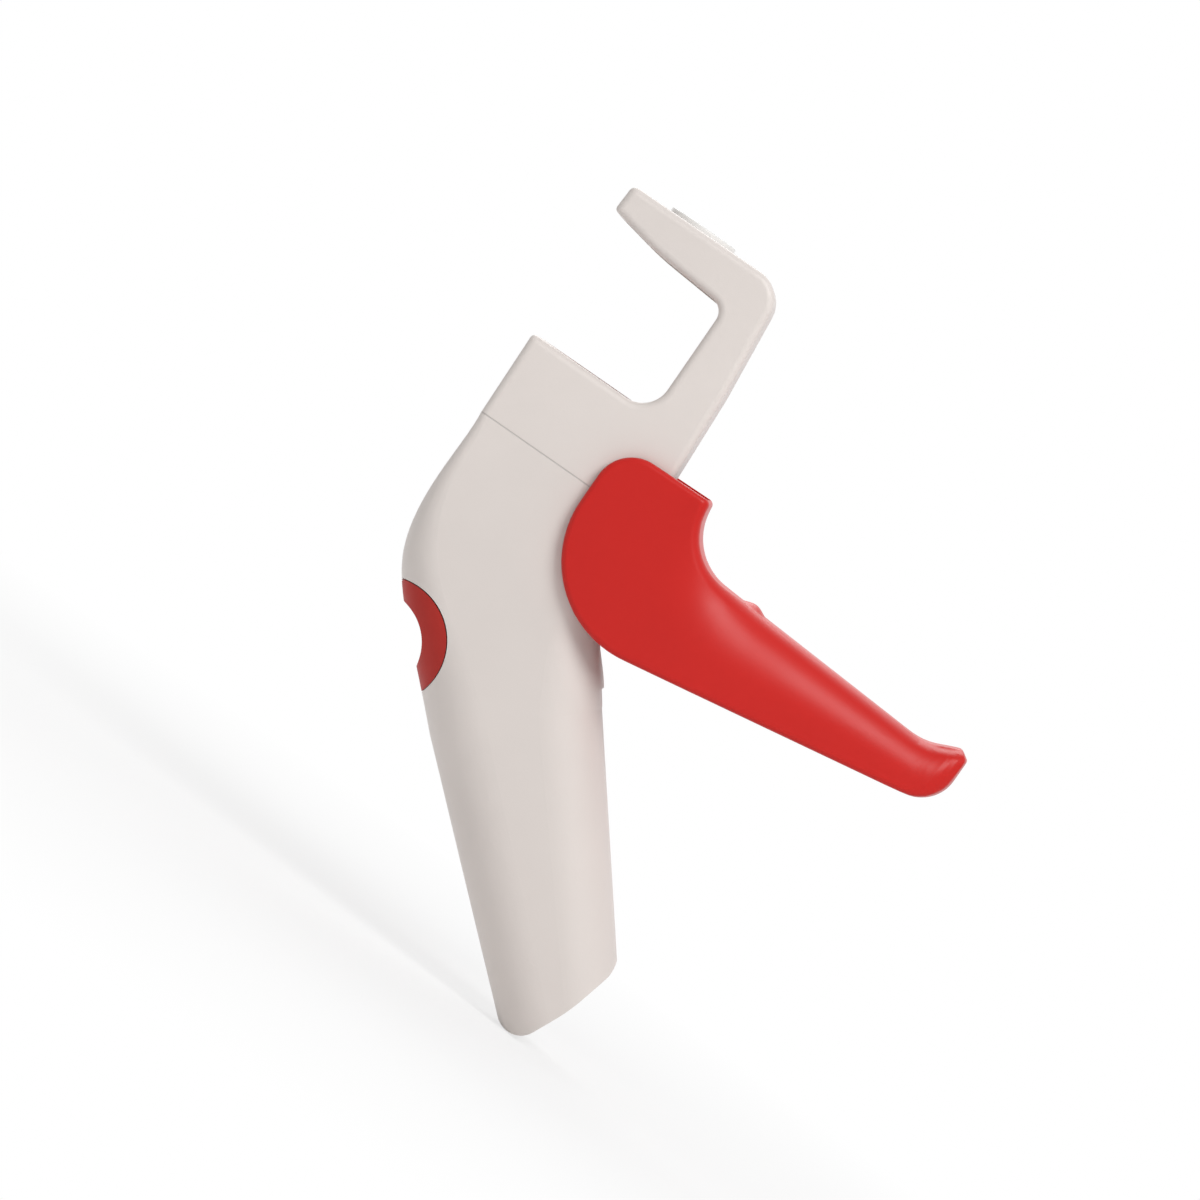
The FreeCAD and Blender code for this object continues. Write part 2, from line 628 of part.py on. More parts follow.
def lever_outline():
    """The lever from the side: a round hub, a hollow neck in front and a flick up at the tip."""
    left = PIVOT_X - HUB_RADIUS
    hub_top = PIVOT_Z + 14.1
    tip = LEVER_TIP_X
    return [
        (left, lever_bottom(left), HUB_RADIUS),
        (left, hub_top, 8.0),
        (PIVOT_X - 0.1, hub_top + 0.4, 0),
        (PIVOT_X + 1.7, web_outside(PIVOT_X + 1.7), NECK_RADIUS),
        (tip - 9.6, web_outside(tip - 9.6), 14.0),
        (tip - 2.2, PIVOT_Z + 2.4, 0),
        (tip, PIVOT_Z + 1.0, 1.0),
        (tip, lever_bottom(tip), 7.5),
    ]


def lever_plan(inset):
    """The lever from above: parallel cheeks at the hub, then a taper to the tip."""
    wide = CHEEK_OUTER - inset
    tip = LEVER_TIP_WIDTH / 2 - inset
    end = LEVER_TIP_X + 1 - inset
    corners = [(0, -wide, 0), (PIVOT_X + 11, -wide, 90), (end, -tip, 6.0),
               (end, tip, 6.0), (PIVOT_X + 11, wide, 90), (0, wide, 0)]
    return plan_slab(corners, -60, 10)


def channel_outline():
    """The space between the cheeks: open below and at the hub's top, closed by the web in front."""
    tip = LEVER_TIP_X
    corner = PIVOT_X + 1.7 - WEB
    return [
        (-10, 10, 0),
        (PIVOT_X - 0.5 - WEB, 10, 0),
        (corner, web_outside(corner) - WEB, NECK_RADIUS + WEB),
        (tip - 12.0, web_outside(tip - 12.0) - WEB, 2.0),
        (tip - 12.0, -70, 0),
        (-10, -70, 0),
    ]


def round_lever(solid):
    """Rounded edges: wider along the front of the neck and the grip, narrow round the hub and below."""
    front = []
    for edge in solid.Edges:
        box = edge.BoundBox
        beside = box.YMin > 0 or box.YMax < 0
        if beside and box.XMin > PIVOT_X - 0.2 and box.XMax < LEVER_TIP_X - 2 and box.ZMax > PIVOT_Z - 1.5:
            front.append(edge)
    solid = solid.makeFillet(GRIP_EDGE, front)
    # The hub's arcs lead the narrow rounding on along every edge that is tangent to them
    hub = []
    for edge in solid.Edges:
        box = edge.BoundBox
        if box.YLength < 1e-3 and box.XMin < PIVOT_X - HUB_RADIUS + 1 and edge.Length > HUB_RADIUS:
            hub.append(edge)
    return solid.makeFillet(HUB_EDGE, hub)


def make_lever():
    solid = side_slab(lever_outline(), -CHEEK_OUTER, CHEEK_OUTER).common(lever_plan(0))
    solid = round_lever(solid)
    inner = side_slab(channel_outline(), -CHEEK_INNER, CHEEK_INNER).common(lever_plan(CHEEK))
    solid = solid.cut(inner)
    # Two low nubs on the front cover the screws that hold the crank
    x = PIVOT_X + CRANK_SCREW_REACH
    for y in CRANK_SCREW_YS:
        solid = solid.fuse(post(SCREW_RADIUS + 1.1, web_outside(x) - 0.8, web_outside(x) + NUB_HEIGHT, x, y))
        solid = solid.cut(post(SCREW_RADIUS + 0.02, web_outside(x) - WEB - 1, CRANK_SCREW_TOP_Z, x, y))
    # The pivot pin is blind in the right cheek and comes out flush in the left one
    solid = solid.cut(barrel(PIN_RADIUS, PIN_START_Y, CHEEK_OUTER + 1, PIVOT_X, PIVOT_Z))
    return solid.removeSplitter()


def make_pivot_pin():
    return barrel(PIN_RADIUS, PIN_START_Y, CHEEK_OUTER - 0.1, PIVOT_X, PIVOT_Z)


def make_pivot_bushes():
    """A flanged bush in each ear; the flanges keep the crank in the middle."""
    bushes = []
    for side in (-1, 1):
        ends = sorted((side * LUG_INNER, side * HALF))
        lip = sorted((side * (LUG_INNER - BUSH_FLANGE), side * LUG_INNER))
        bush = barrel(BUSH_RADIUS, ends[0], ends[1], PIVOT_X, PIVOT_Z)
        bush = bush.fuse(barrel(LUG_RADIUS - 0.4, lip[0], lip[1], PIVOT_X, PIVOT_Z))
        bushes.append(bush.cut(barrel(PIN_RADIUS + PIN_FIT, -60, 60, PIVOT_X, PIVOT_Z)).removeSplitter())
    return Part.makeCompound(bushes)


def crank_corner(r, h):
    """A point of the resting crank: r out from the pivot, h below the crank's middle line."""
    return turn(PIVOT_X + r, PIVOT_Z + h, REST_ANGLE - 180, (PIVOT_X, PIVOT_Z))


def make_crank_fork():
    """Two arms on one hub; an open slot in each lifts the carrier by its pin."""
    reach = PIVOT_X / math.cos(math.radians(REST_ANGLE)) + 0.7
    neck = reach - 11.0
    hub = LUG_RADIUS - 0.3
    arm = [(0, -hub, 0), (neck, -ARM_ABOVE, 6.0), (reach, -ARM_ABOVE, 1.2),
           (reach, ARM_BELOW, 1.2), (neck, ARM_BELOW, 6.0), (0, hub, 0)]
    slot_half = TRUNNION_RADIUS + FORK_PLAY
    slot_end = PIVOT_X - TRUNNION_RADIUS - 1.2
    slot = [(slot_end, FORK_OFFSET - slot_half, 1.5), (reach + 5, FORK_OFFSET - slot_half, 0),
            (reach + 5, FORK_OFFSET + slot_half, 0), (slot_end, FORK_OFFSET + slot_half, 1.5)]
    crank = barrel(LUG_RADIUS, -ARM_OUTER, ARM_OUTER, PIVOT_X, PIVOT_Z)
    for side in (-1, 1):
        y0, y1 = sorted((side * ARM_INNER, side * ARM_OUTER))
        plate = side_slab([crank_corner(r, h) + (radius,) for r, h, radius in arm], y0, y1)
        plate = plate.cut(side_slab([crank_corner(r, h) + (radius,) for r, h, radius in slot], y0, y1))
        crank = crank.fuse(plate)
    # The tail lies under the lever's web, and two screws hold it there
    end = PIVOT_X + CRANK_SCREW_REACH + 3.0
    start = PIVOT_X + 5.2
    top_start = web_outside(start) - WEB - 0.04
    top_end = web_outside(end) - WEB - 0.04
    tail = side_slab([(PIVOT_X, PIVOT_Z + 1.0, 0), (start, top_start, 0), (end, top_end, 0),
                      (end, top_end - TAIL_THICKNESS, 1.0), (PIVOT_X, PIVOT_Z - LUG_RADIUS + 0.2, 0)],
                     -TAIL_HALF, TAIL_HALF)
    crank = crank.fuse(tail)
    for y in CRANK_SCREW_YS:
        crank = crank.cut(post(SCREW_RADIUS + 0.1, -60, 0, PIVOT_X + CRANK_SCREW_REACH, y))
    return crank.cut(barrel(PIN_RADIUS, -60, 60, PIVOT_X, PIVOT_Z)).removeSplitter()


def make_crank_screws():
    x = PIVOT_X + CRANK_SCREW_REACH
    seat = web_outside(x + 3.0) - WEB - 0.04 - TAIL_THICKNESS - 0.35
    screws = []
    for y in CRANK_SCREW_YS:
        screw = post(SCREW_RADIUS, seat - 0.1, CRANK_SCREW_TOP_Z - 0.1, x, y)
        screw = screw.fuse(post(SCREW_HEAD_RADIUS, seat - SCREW_HEAD_HEIGHT, seat, x, y))
        screws.append(screw.removeSplitter())
    return Part.makeCompound(screws)


def make_shell_screws():
    screws = []
    for x, z, seat in SCREW_PLACES:
        screw = barrel(SCREW_RADIUS, seat - SCREW_LENGTH, seat + 0.1, x, z)
        screw = screw.fuse(barrel(SCREW_HEAD_RADIUS, seat, seat + SCREW_HEAD_HEIGHT, x, z))
        screws.append(screw.removeSplitter())
    return Part.makeCompound(screws)


def main():
    os.makedirs("parts", exist_ok=True)
    outer, cavity = make_handle()
    parts = {
        "head_frame": make_head_frame(),
        "handle_shell_right": make_handle_shell(outer, cavity, -1),
        "handle_shell_left": make_handle_shell(outer, cavity, 1),
        "hand_rest": make_hand_rest(outer),
        "pit_exit_collar": make_exit_collar(),
        "cherry_seat": make_cherry_seat(),
        "punch_guide": make_punch_guide(),
        "spring_washer": make_spring_washer(),
        "return_spring": make_return_spring(),
        "punch_rod": make_punch_rod(),
        "punch_carrier": make_punch_carrier(),
        "carrier_pins": make_carrier_pins(),
        "lever": make_lever(),
        "crank_fork": make_crank_fork(),
        "crank_screws": make_crank_screws(),
        "pivot_pin": make_pivot_pin(),
        "pivot_bushes": make_pivot_bushes(),
        "shell_screws": make_shell_screws(),
    }
    for name, shape in parts.items():
        shape.exportStep(os.path.join("parts", name + ".step"))
        print(name, len(shape.Solids), "valid", shape.isValid(), "volume", round(shape.Volume, 1))


main()
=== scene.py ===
# %% [markdown]
# A hand cherry pitter, looked at from its side.
#
# The tool has an off-white plastic body, a red lever and a steel rod that the lever
# pushes up out of the body. The shapes come packed from the construction model, all in
# one frame and in metres, so a size below is a number times MM. This lesson gives each
# piece its finish, rounds the lever's grip, turns the screws and winds the spring in
# mesh code, and then sets up the floor, the lamps and the camera.

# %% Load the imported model
import json
import math

import bmesh
import bpy
from mathutils import Matrix, Vector


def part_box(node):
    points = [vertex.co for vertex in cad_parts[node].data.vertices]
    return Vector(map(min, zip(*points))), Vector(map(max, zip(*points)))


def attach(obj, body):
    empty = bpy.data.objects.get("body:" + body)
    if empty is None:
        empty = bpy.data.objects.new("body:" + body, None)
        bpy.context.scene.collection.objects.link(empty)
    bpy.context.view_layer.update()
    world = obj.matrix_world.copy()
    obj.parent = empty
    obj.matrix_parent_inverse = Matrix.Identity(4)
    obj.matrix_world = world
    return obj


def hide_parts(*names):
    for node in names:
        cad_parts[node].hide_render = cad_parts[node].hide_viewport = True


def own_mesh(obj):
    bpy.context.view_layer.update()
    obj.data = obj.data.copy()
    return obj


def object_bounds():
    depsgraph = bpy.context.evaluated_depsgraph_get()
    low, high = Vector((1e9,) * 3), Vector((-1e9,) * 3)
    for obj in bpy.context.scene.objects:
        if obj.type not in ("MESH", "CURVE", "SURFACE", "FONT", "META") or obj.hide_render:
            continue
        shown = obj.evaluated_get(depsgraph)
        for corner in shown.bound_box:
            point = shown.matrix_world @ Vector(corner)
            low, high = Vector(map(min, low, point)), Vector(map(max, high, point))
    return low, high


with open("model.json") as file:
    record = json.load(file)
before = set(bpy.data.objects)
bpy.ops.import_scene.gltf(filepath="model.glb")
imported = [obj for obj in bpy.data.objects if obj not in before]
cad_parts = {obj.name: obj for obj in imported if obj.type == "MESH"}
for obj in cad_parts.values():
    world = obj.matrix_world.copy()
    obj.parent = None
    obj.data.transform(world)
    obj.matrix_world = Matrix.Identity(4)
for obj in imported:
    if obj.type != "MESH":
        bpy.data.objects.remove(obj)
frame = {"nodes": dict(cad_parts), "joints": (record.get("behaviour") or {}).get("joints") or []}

MM = 0.001
CAD_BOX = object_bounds()
NODES = frame["nodes"]
print("construction box", [list(corner) for corner in CAD_BOX])

# %% [markdown]
# A finish is a small network of nodes. Written node by node it is hard to read, so two
# helpers come first. Tone wraps one value socket and lets it take part in ordinary
# arithmetic: an expression such as 1 - mask * 0.5 adds the Math nodes by itself. It
# could be done with a node group for each formula, but then the formula is hidden.


# %% A value that takes part in arithmetic
class Tone:
    """A socket that carries a number."""

    def __init__(self, nodes, socket):
        self.nodes = nodes
        self.socket = socket

    def joined(self, operation, first, second=0.0):
        values = [getattr(side, "socket", side) for side in (first, second)]
        made = self.nodes.node(
            "ShaderNodeMath", {"operation": operation}, {0: values[0], 1: values[1]}
        )
        return Tone(self.nodes, made.outputs[0])

    def __add__(self, other):
        return self.joined("ADD", self, other)

    def __radd__(self, other):
        return self.joined("ADD", other, self)

    def __sub__(self, other):
        return self.joined("SUBTRACT", self, other)

    def __rsub__(self, other):
        return self.joined("SUBTRACT", other, self)

    def __mul__(self, other):
        return self.joined("MULTIPLY", self, other)

    def __rmul__(self, other):
        return self.joined("MULTIPLY", other, self)

    def __abs__(self):
        return self.joined("ABSOLUTE", self)

    def at_least(self, other):
        """The greater of the two."""
        return self.joined("MAXIMUM", self, other)


# %% [markdown]
# Every other node is added by one method, node. It takes the node's type, then its
# settings, and last the values or links of its sockets. The order matters in Blender,
# because a setting such as a Mix node's data type changes which sockets there are. The
# stops of a colour ramp are grey levels, and they are a setting too. The method belongs
# to a tree, so the materials and the world can both use it.


# %% One way to add a node
class NodeTree:
    """A tree of shader nodes, empty at first."""

    def __init__(self, tree):
        self.tree = tree
        self.tree.nodes.clear()

    def node(self, kind, settings=None, sockets=None):
        """Adds a node. A socket's name may have _ where Blender has a space."""
        made = self.tree.nodes.new(kind)
        for name, value in (settings or {}).items():
            if name == "stops":
                self.set_stops(made.color_ramp, value)
            else:
                setattr(made, name, value)
        for name, value in (sockets or {}).items():
            key = name.replace("_", " ") if isinstance(name, str) else name
            if isinstance(value, Tone):
                value = value.socket
            if isinstance(value, bpy.types.NodeSocket):
                self.tree.links.new(value, made.inputs[key])
            else:
                made.inputs[key].default_value = value
        return made

    def set_stops(self, ramp, stops):
        while len(ramp.elements) < len(stops):
            ramp.elements.new(0.5)
        for element, (position, level) in zip(ramp.elements, stops):
            element.position = position
            element.color = (level, level, level, 1)

    def seen_directly(self):
        """One tone for each kind of ray that shows what it meets: camera, mirror, glass."""
        path = self.node("ShaderNodeLightPath")
        kinds = ("Is Camera Ray", "Is Glossy Ray", "Is Transmission Ray")
        return [Tone(self, path.outputs[kind]) for kind in kinds]


# %% [markdown]
# Finish is the tree of one material. Patterns are placed by object coordinates: they
# are in metres here, so a grain of 0.4 mm is a noise of scale 2500, and the pattern
# rides with a moving piece. Generated coordinates would stretch with each piece's box,
# and the same grain would then look coarse on the handle and fine on a screw.


# %% A material and its nodes
class Finish(NodeTree):
    """One material, built round a single Principled shader."""

    def __init__(self, name, **constants):
        self.material = bpy.data.materials.new(name)
        self.material.use_nodes = True
        super().__init__(self.material.node_tree)
        self.shader = self.node("ShaderNodeBsdfPrincipled", {}, constants)
        self.output = self.node(
            "ShaderNodeOutputMaterial", {}, {"Surface": self.shader.outputs[0]}
        )
        self.place = self.node("ShaderNodeTexCoord").outputs["Object"]

    def noise(self, scale, detail=2.0, roughness=0.5, stretch=None):
        """Cloudy noise from 0 to 1; stretch draws it out along an axis."""
        place = self.place
        if stretch:
            place = self.node(
                "ShaderNodeVectorMath", {"operation": "MULTIPLY"}, {0: place, 1: stretch}
            ).outputs[0]
        made = self.node(
            "ShaderNodeTexNoise",
            {},
            {"Vector": place, "Scale": scale, "Detail": detail, "Roughness": roughness},
        )
        return Tone(self, made.outputs["Fac"])

    def ramp(self, tone, *stops):
        made = self.node("ShaderNodeValToRGB", {"stops": stops}, {"Fac": tone})
        return Tone(self, made.outputs["Color"])

    def blend(self, amount, low, high):
        """Two colours mixed by a number. Sockets 6 and 7 of a Mix node are its colours."""
        made = self.node(
            "ShaderNodeMix", {"data_type": "RGBA"}, {"Factor": amount, 6: low, 7: high}
        )
        return made.outputs[2]

    def feed(self, **sockets):
        for name, value in sockets.items():
            value = value.socket if isinstance(value, Tone) else value
            self.tree.links.new(value, self.shader.inputs[name.replace("_", " ")])

    def relief(self, height, depth, strength=1.0):
        """Turns a height from 0 to 1 into a bump of that depth in metres."""
        sockets = {"Height": height, "Distance": depth, "Strength": strength}
        self.feed(Normal=self.node("ShaderNodeBump", {}, sockets).outputs[0])


def shade(colour, factor):
    """A colour made lighter or darker, with its alpha."""
    return (*[min(channel * factor, 1.0) for channel in colour], 1.0)


# %% [markdown]
# The head and the two halves of the handle meet in hairlines a fifth of a millimetre
# wide. The pieces touch there in the model. A real groove could be cut, but it would
# change the fit of the solids, so the finish paints the groove's shade as a darker line
# and sinks it by a few grains of the surface. The line is found from the place alone:
# it is the distance to the plane in which two mouldings meet.

# %% Find the line where two mouldings meet
SEAM_HALF = 0.22 * MM
SEAM_PAINTED_SHADE = 0.72
SEAM_GRAINS = 6
BLOCK_SEAM = ("Z", -18.8 * MM)
MIDDLE_SEAM = ("Y", 0.0)


def seam_line(finish, seams):
    """1 on the planes where mouldings meet, falling to 0 beside them."""
    place = finish.node("ShaderNodeSeparateXYZ", {}, {0: finish.place})
    line = 0.0
    for axis, at in seams:
        off = abs(Tone(finish, place.outputs[axis]) - at) * (1 / SEAM_HALF)
        line = finish.ramp(off, (0.25, 1.0), (1.0, 0.0)).at_least(line)
    return line


print("seams across", BLOCK_SEAM, "and", MIDDLE_SEAM)

# %% [markdown]
# The body and the lever are moulded plastic. Such a mould is spark eroded, which leaves
# a fine even grain that softens the gloss, and handling polishes it in patches. So the
# plastic finish has three scales: clouds some centimetres wide in the colour, patches in
# the roughness, and the grain as a shallow bump. The depth of a real grain is about a
# hundredth of a millimetre, too little to show as colour. Faint scuffs, drawn out along
# the tool, are a little duller than the rest.

# %% Moulded plastic
GRAIN_SCALE = 2600
GRAIN_DEPTH = 0.012 * MM
PATCH_SCALE = 60
PATCH_GLOSS = 0.05
CLOUD_SCALE = 22
SCUFF_SCALE = 900
SCUFF_STRETCH = (1.0, 1.0, 0.08)
SCUFF_SHARE = 0.2
SCUFF_DULLNESS = 0.06


def moulded(name, colour, rough, spread=0.03, grain=1.0, seams=(), **constants):
    """Plastic with mould grain, handling patches, faint scuffs and seam lines in painted shade.
    """
    finish = Finish(name, **constants)
    clouds = finish.ramp(finish.noise(CLOUD_SCALE, 4), (0.3, 0.0), (0.7, 1.0))
    hue = finish.blend(clouds, shade(colour, 1 - spread), shade(colour, 1 + spread))
    scuffs = finish.noise(SCUFF_SCALE, 2, 0.6, SCUFF_STRETCH)
    scuffs = finish.ramp(scuffs, (0.66, 0.0), (0.74, 1.0))
    height = finish.noise(GRAIN_SCALE, 1) * (1 - SCUFF_SHARE) + scuffs * SCUFF_SHARE
    if seams:
        line = seam_line(finish, seams)
        # the seam line's darker colour is painted shade of a groove that isn't modelled
        hue = finish.blend(line, hue, shade(colour, SEAM_PAINTED_SHADE))
        height = height - line * SEAM_GRAINS
    patches = finish.ramp(finish.noise(PATCH_SCALE, 3), (0.35, 0.0), (0.65, 1.0))
    roughness = rough - patches * PATCH_GLOSS + scuffs * SCUFF_DULLNESS
    finish.feed(Base_Color=hue, Roughness=roughness)
    finish.relief(height, GRAIN_DEPTH, grain)
    return finish.material


BODY_WHITE = (0.765, 0.703, 0.665)
BODY_SHEEN = {"rough": 0.44, "Specular_IOR_Level": 0.45}
LEVER_RED = (0.600, 0.014, 0.010)
HANDLE_SEAMS = (BLOCK_SEAM, MIDDLE_SEAM)
head_plastic = moulded("head_plastic", BODY_WHITE, seams=(BLOCK_SEAM,), **BODY_SHEEN)
handle_plastic = moulded("handle_plastic", BODY_WHITE, seams=HANDLE_SEAMS, **BODY_SHEEN)
lever_plastic = moulded("lever_plastic", LEVER_RED, 0.39, 0.05, Specular_IOR_Level=0.26)
print("moulded plastics:", head_plastic.name, handle_plastic.name, lever_plastic.name)

# %% [markdown]
# The rest that is let into the back of the handle's elbow and the seat in the well of
# the block are soft rubber in the lever's red. The plastic recipe could be used with a
# higher roughness, but rubber also holds a little dust. So it has its own recipe, with
# pale dust, a coarser grain and a slight sheen that lightens it at grazing angles.

# %% Red rubber
RUBBER_RED = (0.470, 0.026, 0.018)
RUBBER_GRAIN = 1700
RUBBER_DEPTH = 0.02 * MM
DUST_SCALE = 180
DUST_SHARE = 0.5
DUST_DULLNESS = 0.08


def rubber(name, colour, rough):
    finish = Finish(name, Specular_IOR_Level=0.22, Sheen_Weight=0.05, Sheen_Roughness=0.5)
    dust = finish.ramp(finish.noise(DUST_SCALE, 5, 0.65), (0.45, 0.0), (0.80, 1.0))
    pale = shade([channel * 1.10 + 0.010 for channel in colour], 1.0)
    hue = finish.blend(dust * DUST_SHARE, shade(colour, 0.97), pale)
    finish.feed(Base_Color=hue, Roughness=rough + dust * DUST_DULLNESS)
    finish.relief(finish.noise(RUBBER_GRAIN, 2), RUBBER_DEPTH, 0.8)
    return finish.material


rest_rubber = rubber("rest_rubber", RUBBER_RED, 0.50)
seat_rubber = rubber("seat_rubber", RUBBER_RED, 0.58)
print("rubbers:", rest_rubber.name, seat_rubber.name)

# %% [markdown]
# The exit ring is a whiter, glossier plastic than the body, and the bushes, the guide
# and the carrier are natural acetal: milky, slightly see-through at thin edges and
# smooth from turning. Both use the plastic recipe with less grain, and the acetal gets
# a little subsurface scattering, which is the same all over and so is a plain constant.

# %% White ring and natural acetal
RING_WHITE = (0.860, 0.850, 0.830)
ACETAL = (0.780, 0.770, 0.730)
GLOSS = {"Specular_IOR_Level": 0.5}
MILKY = {"Subsurface_Weight": 0.15, "Subsurface_Scale": 0.002}
collar_plastic = moulded("collar_plastic", RING_WHITE, 0.28, 0.01, 0.3, **GLOSS)
guide_plastic = moulded("guide_plastic", ACETAL, 0.34, 0.015, 0.4, **MILKY)
print("white plastics:", collar_plastic.name, guide_plastic.name)

# %% [markdown]
# The steel pieces are drawn or turned, so their gloss has fine lines. The lines come
# from noise that is stretched a hundredfold along the rod, and they vary the roughness
# and the bump. A coiled wire has no single direction, so its noise isn't stretched. The
# crank is a die casting that was blasted: the same metal shader with round grain in
# place of the lines, with painted shade in the hollows between the grains and the
# grain's tops painted lighter.

# %% Drawn steel and cast metal
STEEL = (0.620, 0.615, 0.605)
LINE_SCALE = 1400
LINE_DEPTH = 0.008 * MM
STAIN_SCALE = 90
CAST = (0.430, 0.430, 0.435)
CAST_GRAIN = 1100
CAST_DEPTH = 0.06 * MM


def drawn_steel(name, stretch):
    finish = Finish(name, Metallic=1.0)
    lines = finish.noise(LINE_SCALE, 2, 0.6, stretch)
    stain = finish.ramp(finish.noise(STAIN_SCALE, 4), (0.35, 0.0), (0.75, 1.0))
    finish.feed(Base_Color=finish.blend(stain, shade(STEEL, 1.04), shade(STEEL, 0.90)))
    finish.feed(Roughness=0.20 + lines * 0.10 + stain * 0.05)
    finish.relief(lines, LINE_DEPTH, 0.7)
    return finish.material


def cast_metal(name):
    finish = Finish(name, Metallic=1.0)
    grain = finish.noise(CAST_GRAIN, 4, 0.6)
    # painted shade: darker colour where the grain is low, lighter on its tops
    painted_grain_shade = finish.ramp(grain, (0.35, 0.0), (0.55, 1.0))
    finish.feed(Base_Color=finish.blend(painted_grain_shade, shade(CAST, 0.78), shade(CAST, 1.10)))
    finish.feed(Roughness=0.56 - painted_grain_shade * 0.12)
    finish.relief(grain, CAST_DEPTH, 0.9)
    return finish.material


rod_steel = drawn_steel("rod_steel", (1.0, 1.0, 0.01))
pin_steel = drawn_steel("pin_steel", (1.0, 0.02, 1.0))
wire_steel = drawn_steel("wire_steel", (1.0, 1.0, 1.0))
crank_metal = cast_metal("crank_metal")
print("metals:", rod_steel.name, pin_steel.name, wire_steel.name, crank_metal.name)

# %% [markdown]
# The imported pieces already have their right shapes, so they only take a finish. Each
# piece has one material slot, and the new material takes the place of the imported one.

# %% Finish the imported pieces
FINISHES = {
    "head_frame": head_plastic,
    "handle_shell_right": handle_plastic,
    "handle_shell_left": handle_plastic,
    "hand_rest": rest_rubber,
    "cherry_seat": seat_rubber,
    "pit_exit_collar": collar_plastic,
    "punch_guide": guide_plastic,
    "punch_carrier": guide_plastic,
    "pivot_bushes": guide_plastic,
    "punch_rod": rod_steel,
    "pivot_pin": pin_steel,
    "carrier_pins": pin_steel,
    "spring_washer": wire_steel,
    "crank_fork": crank_metal,
}
for name, material in FINISHES.items():
    mesh = NODES[name].data
    mesh.materials.clear()
    mesh.materials.append(material)
print("finished", len(FINISHES), "packed pieces")

# %% [markdown]
# The lever is a channel: two cheeks joined by a web along the front. Round the hub the
# cheeks are flat, but from the neck on the real grip is drawn in towards the front, so
# that it lies round in the fingers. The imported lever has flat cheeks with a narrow
# rounding, so this one is drawn in here. Modelling it from nothing would lose the
# bores and the channel, and a subdivision surface would soften its sharp rims. So a
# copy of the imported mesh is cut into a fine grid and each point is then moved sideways.

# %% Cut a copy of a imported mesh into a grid
GRID_STEP = 1.1 * MM
SLIVER = 0.002 * MM
CUT_SLACK = 0.001 * MM


def cut_by_plane(shape, geometry, axis, position):
    """Cuts parts of a mesh where the axis has that value, and returns what it made."""
    across = Vector((axis == 0, axis == 1, axis == 2))
    return bmesh.ops.bisect_plane(
        shape, geom=geometry, dist=CUT_SLACK, plane_co=across * position, plane_no=across
    )["geom"]


def gridded(node_name, step):
    """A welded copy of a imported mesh, cut along planes that are a step apart in X and Z."""
    shape = bmesh.new()
    shape.from_mesh(NODES[node_name].data)
    bmesh.ops.remove_doubles(shape, verts=shape.verts, dist=SLIVER)
    low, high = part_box(node_name)
    for axis in (0, 2):
        for number in range(1, int((high[axis] - low[axis]) / step)):
            everything = shape.verts[:] + shape.edges[:] + shape.faces[:]
            cut_by_plane(shape, everything, axis, low[axis] + number * step)
    return shape


print("grid of", round(GRID_STEP / MM, 1), "mm")

# %% [markdown]
# Moulded and turned pieces have both smooth faces and crisp edges. Shading a mesh
# smooth rounds off every edge to the eye, and shading it flat shows its facets, so each
# edge is marked by its own angle. Very short edges are closed up first: they would
# leave slivers that shade wrongly.


# %% Shade by the angle of each edge
def smooth_by_angle(mesh, degrees):
    """Smooth shading that keeps edges sharper than this angle, without slivers."""
    shape = bmesh.new()
    shape.from_mesh(mesh)
    short = [edge for edge in shape.edges if edge.calc_length() < SLIVER]
    bmesh.ops.collapse(shape, edges=short)
    for face in shape.faces:
        face.smooth = True
    for edge in shape.edges:
        edge.smooth = edge.is_manifold and edge.calc_face_angle(0) < math.radians(degrees)
    shape.to_mesh(mesh)
    shape.free()


# %% [markdown]
# How far a point is drawn in depends on its depth behind the front line. That line is
# an arc at the neck, then straight, and it curls up at the thumb tip. It could be found
# from the mesh by casting rays, but the lever's own few sizes give it at once.

# %% Measure the depth behind the front line
HINGE = [joint for joint in frame["joints"] if joint["name"] == "lever_pivot"][0]
PIVOT = Vector(HINGE["pos_m"])
FRONT_RISE = 2.55 * MM
FRONT_SLOPE = 0.055
NECK_RADIUS = 12.1 * MM
NECK_X = PIVOT.x + 1.7 * MM + NECK_RADIUS
FLICK_X = PIVOT.x + 60 * MM
FLICK_CURVE = 34.7


def front_line(x):
    """The height of the lever's front at this distance along the tool."""
    flick = FLICK_CURVE * max(x - FLICK_X, 0.0) ** 2
    return PIVOT.z + FRONT_RISE - FRONT_SLOPE * (x - PIVOT.x) + flick


def depth_behind_front(x, z):
    neck_z = front_line(NECK_X) + NECK_RADIUS
    if x >= NECK_X:
        return front_line(x) - z
    if z >= neck_z:
        return NECK_X - NECK_RADIUS - x
    return math.hypot(x - NECK_X, z - neck_z) - NECK_RADIUS


print("front line at the neck:", round(front_line(NECK_X) / MM, 1), "mm")

# %% [markdown]
# The share by which a point is drawn in follows a circle's arc: steep at the front, and
# level where it meets the flat of the cheek, so that no edge shows there. It grows from
# nothing at the neck to its full value along the grip.

# %% Draw the grip in
DRAWN_IN = 0.42
ROUND_SHARE = 0.66
ROUND_START = PIVOT.x - 2 * MM
ROUND_FULL = PIVOT.x + 23 * MM
ARC_SHARE = 0.95
UNDERSIDE_X = PIVOT.x + 7.3 * MM
UNDERSIDE_Z = PIVOT.z - 20.9 * MM
UNDERSIDE_SLOPE = 0.161


def smoothly(value):
    """0 below 0, 1 above 1 and a smooth step between them."""
    value = min(max(value, 0.0), 1.0)
    return value * value * (3 - 2 * value)


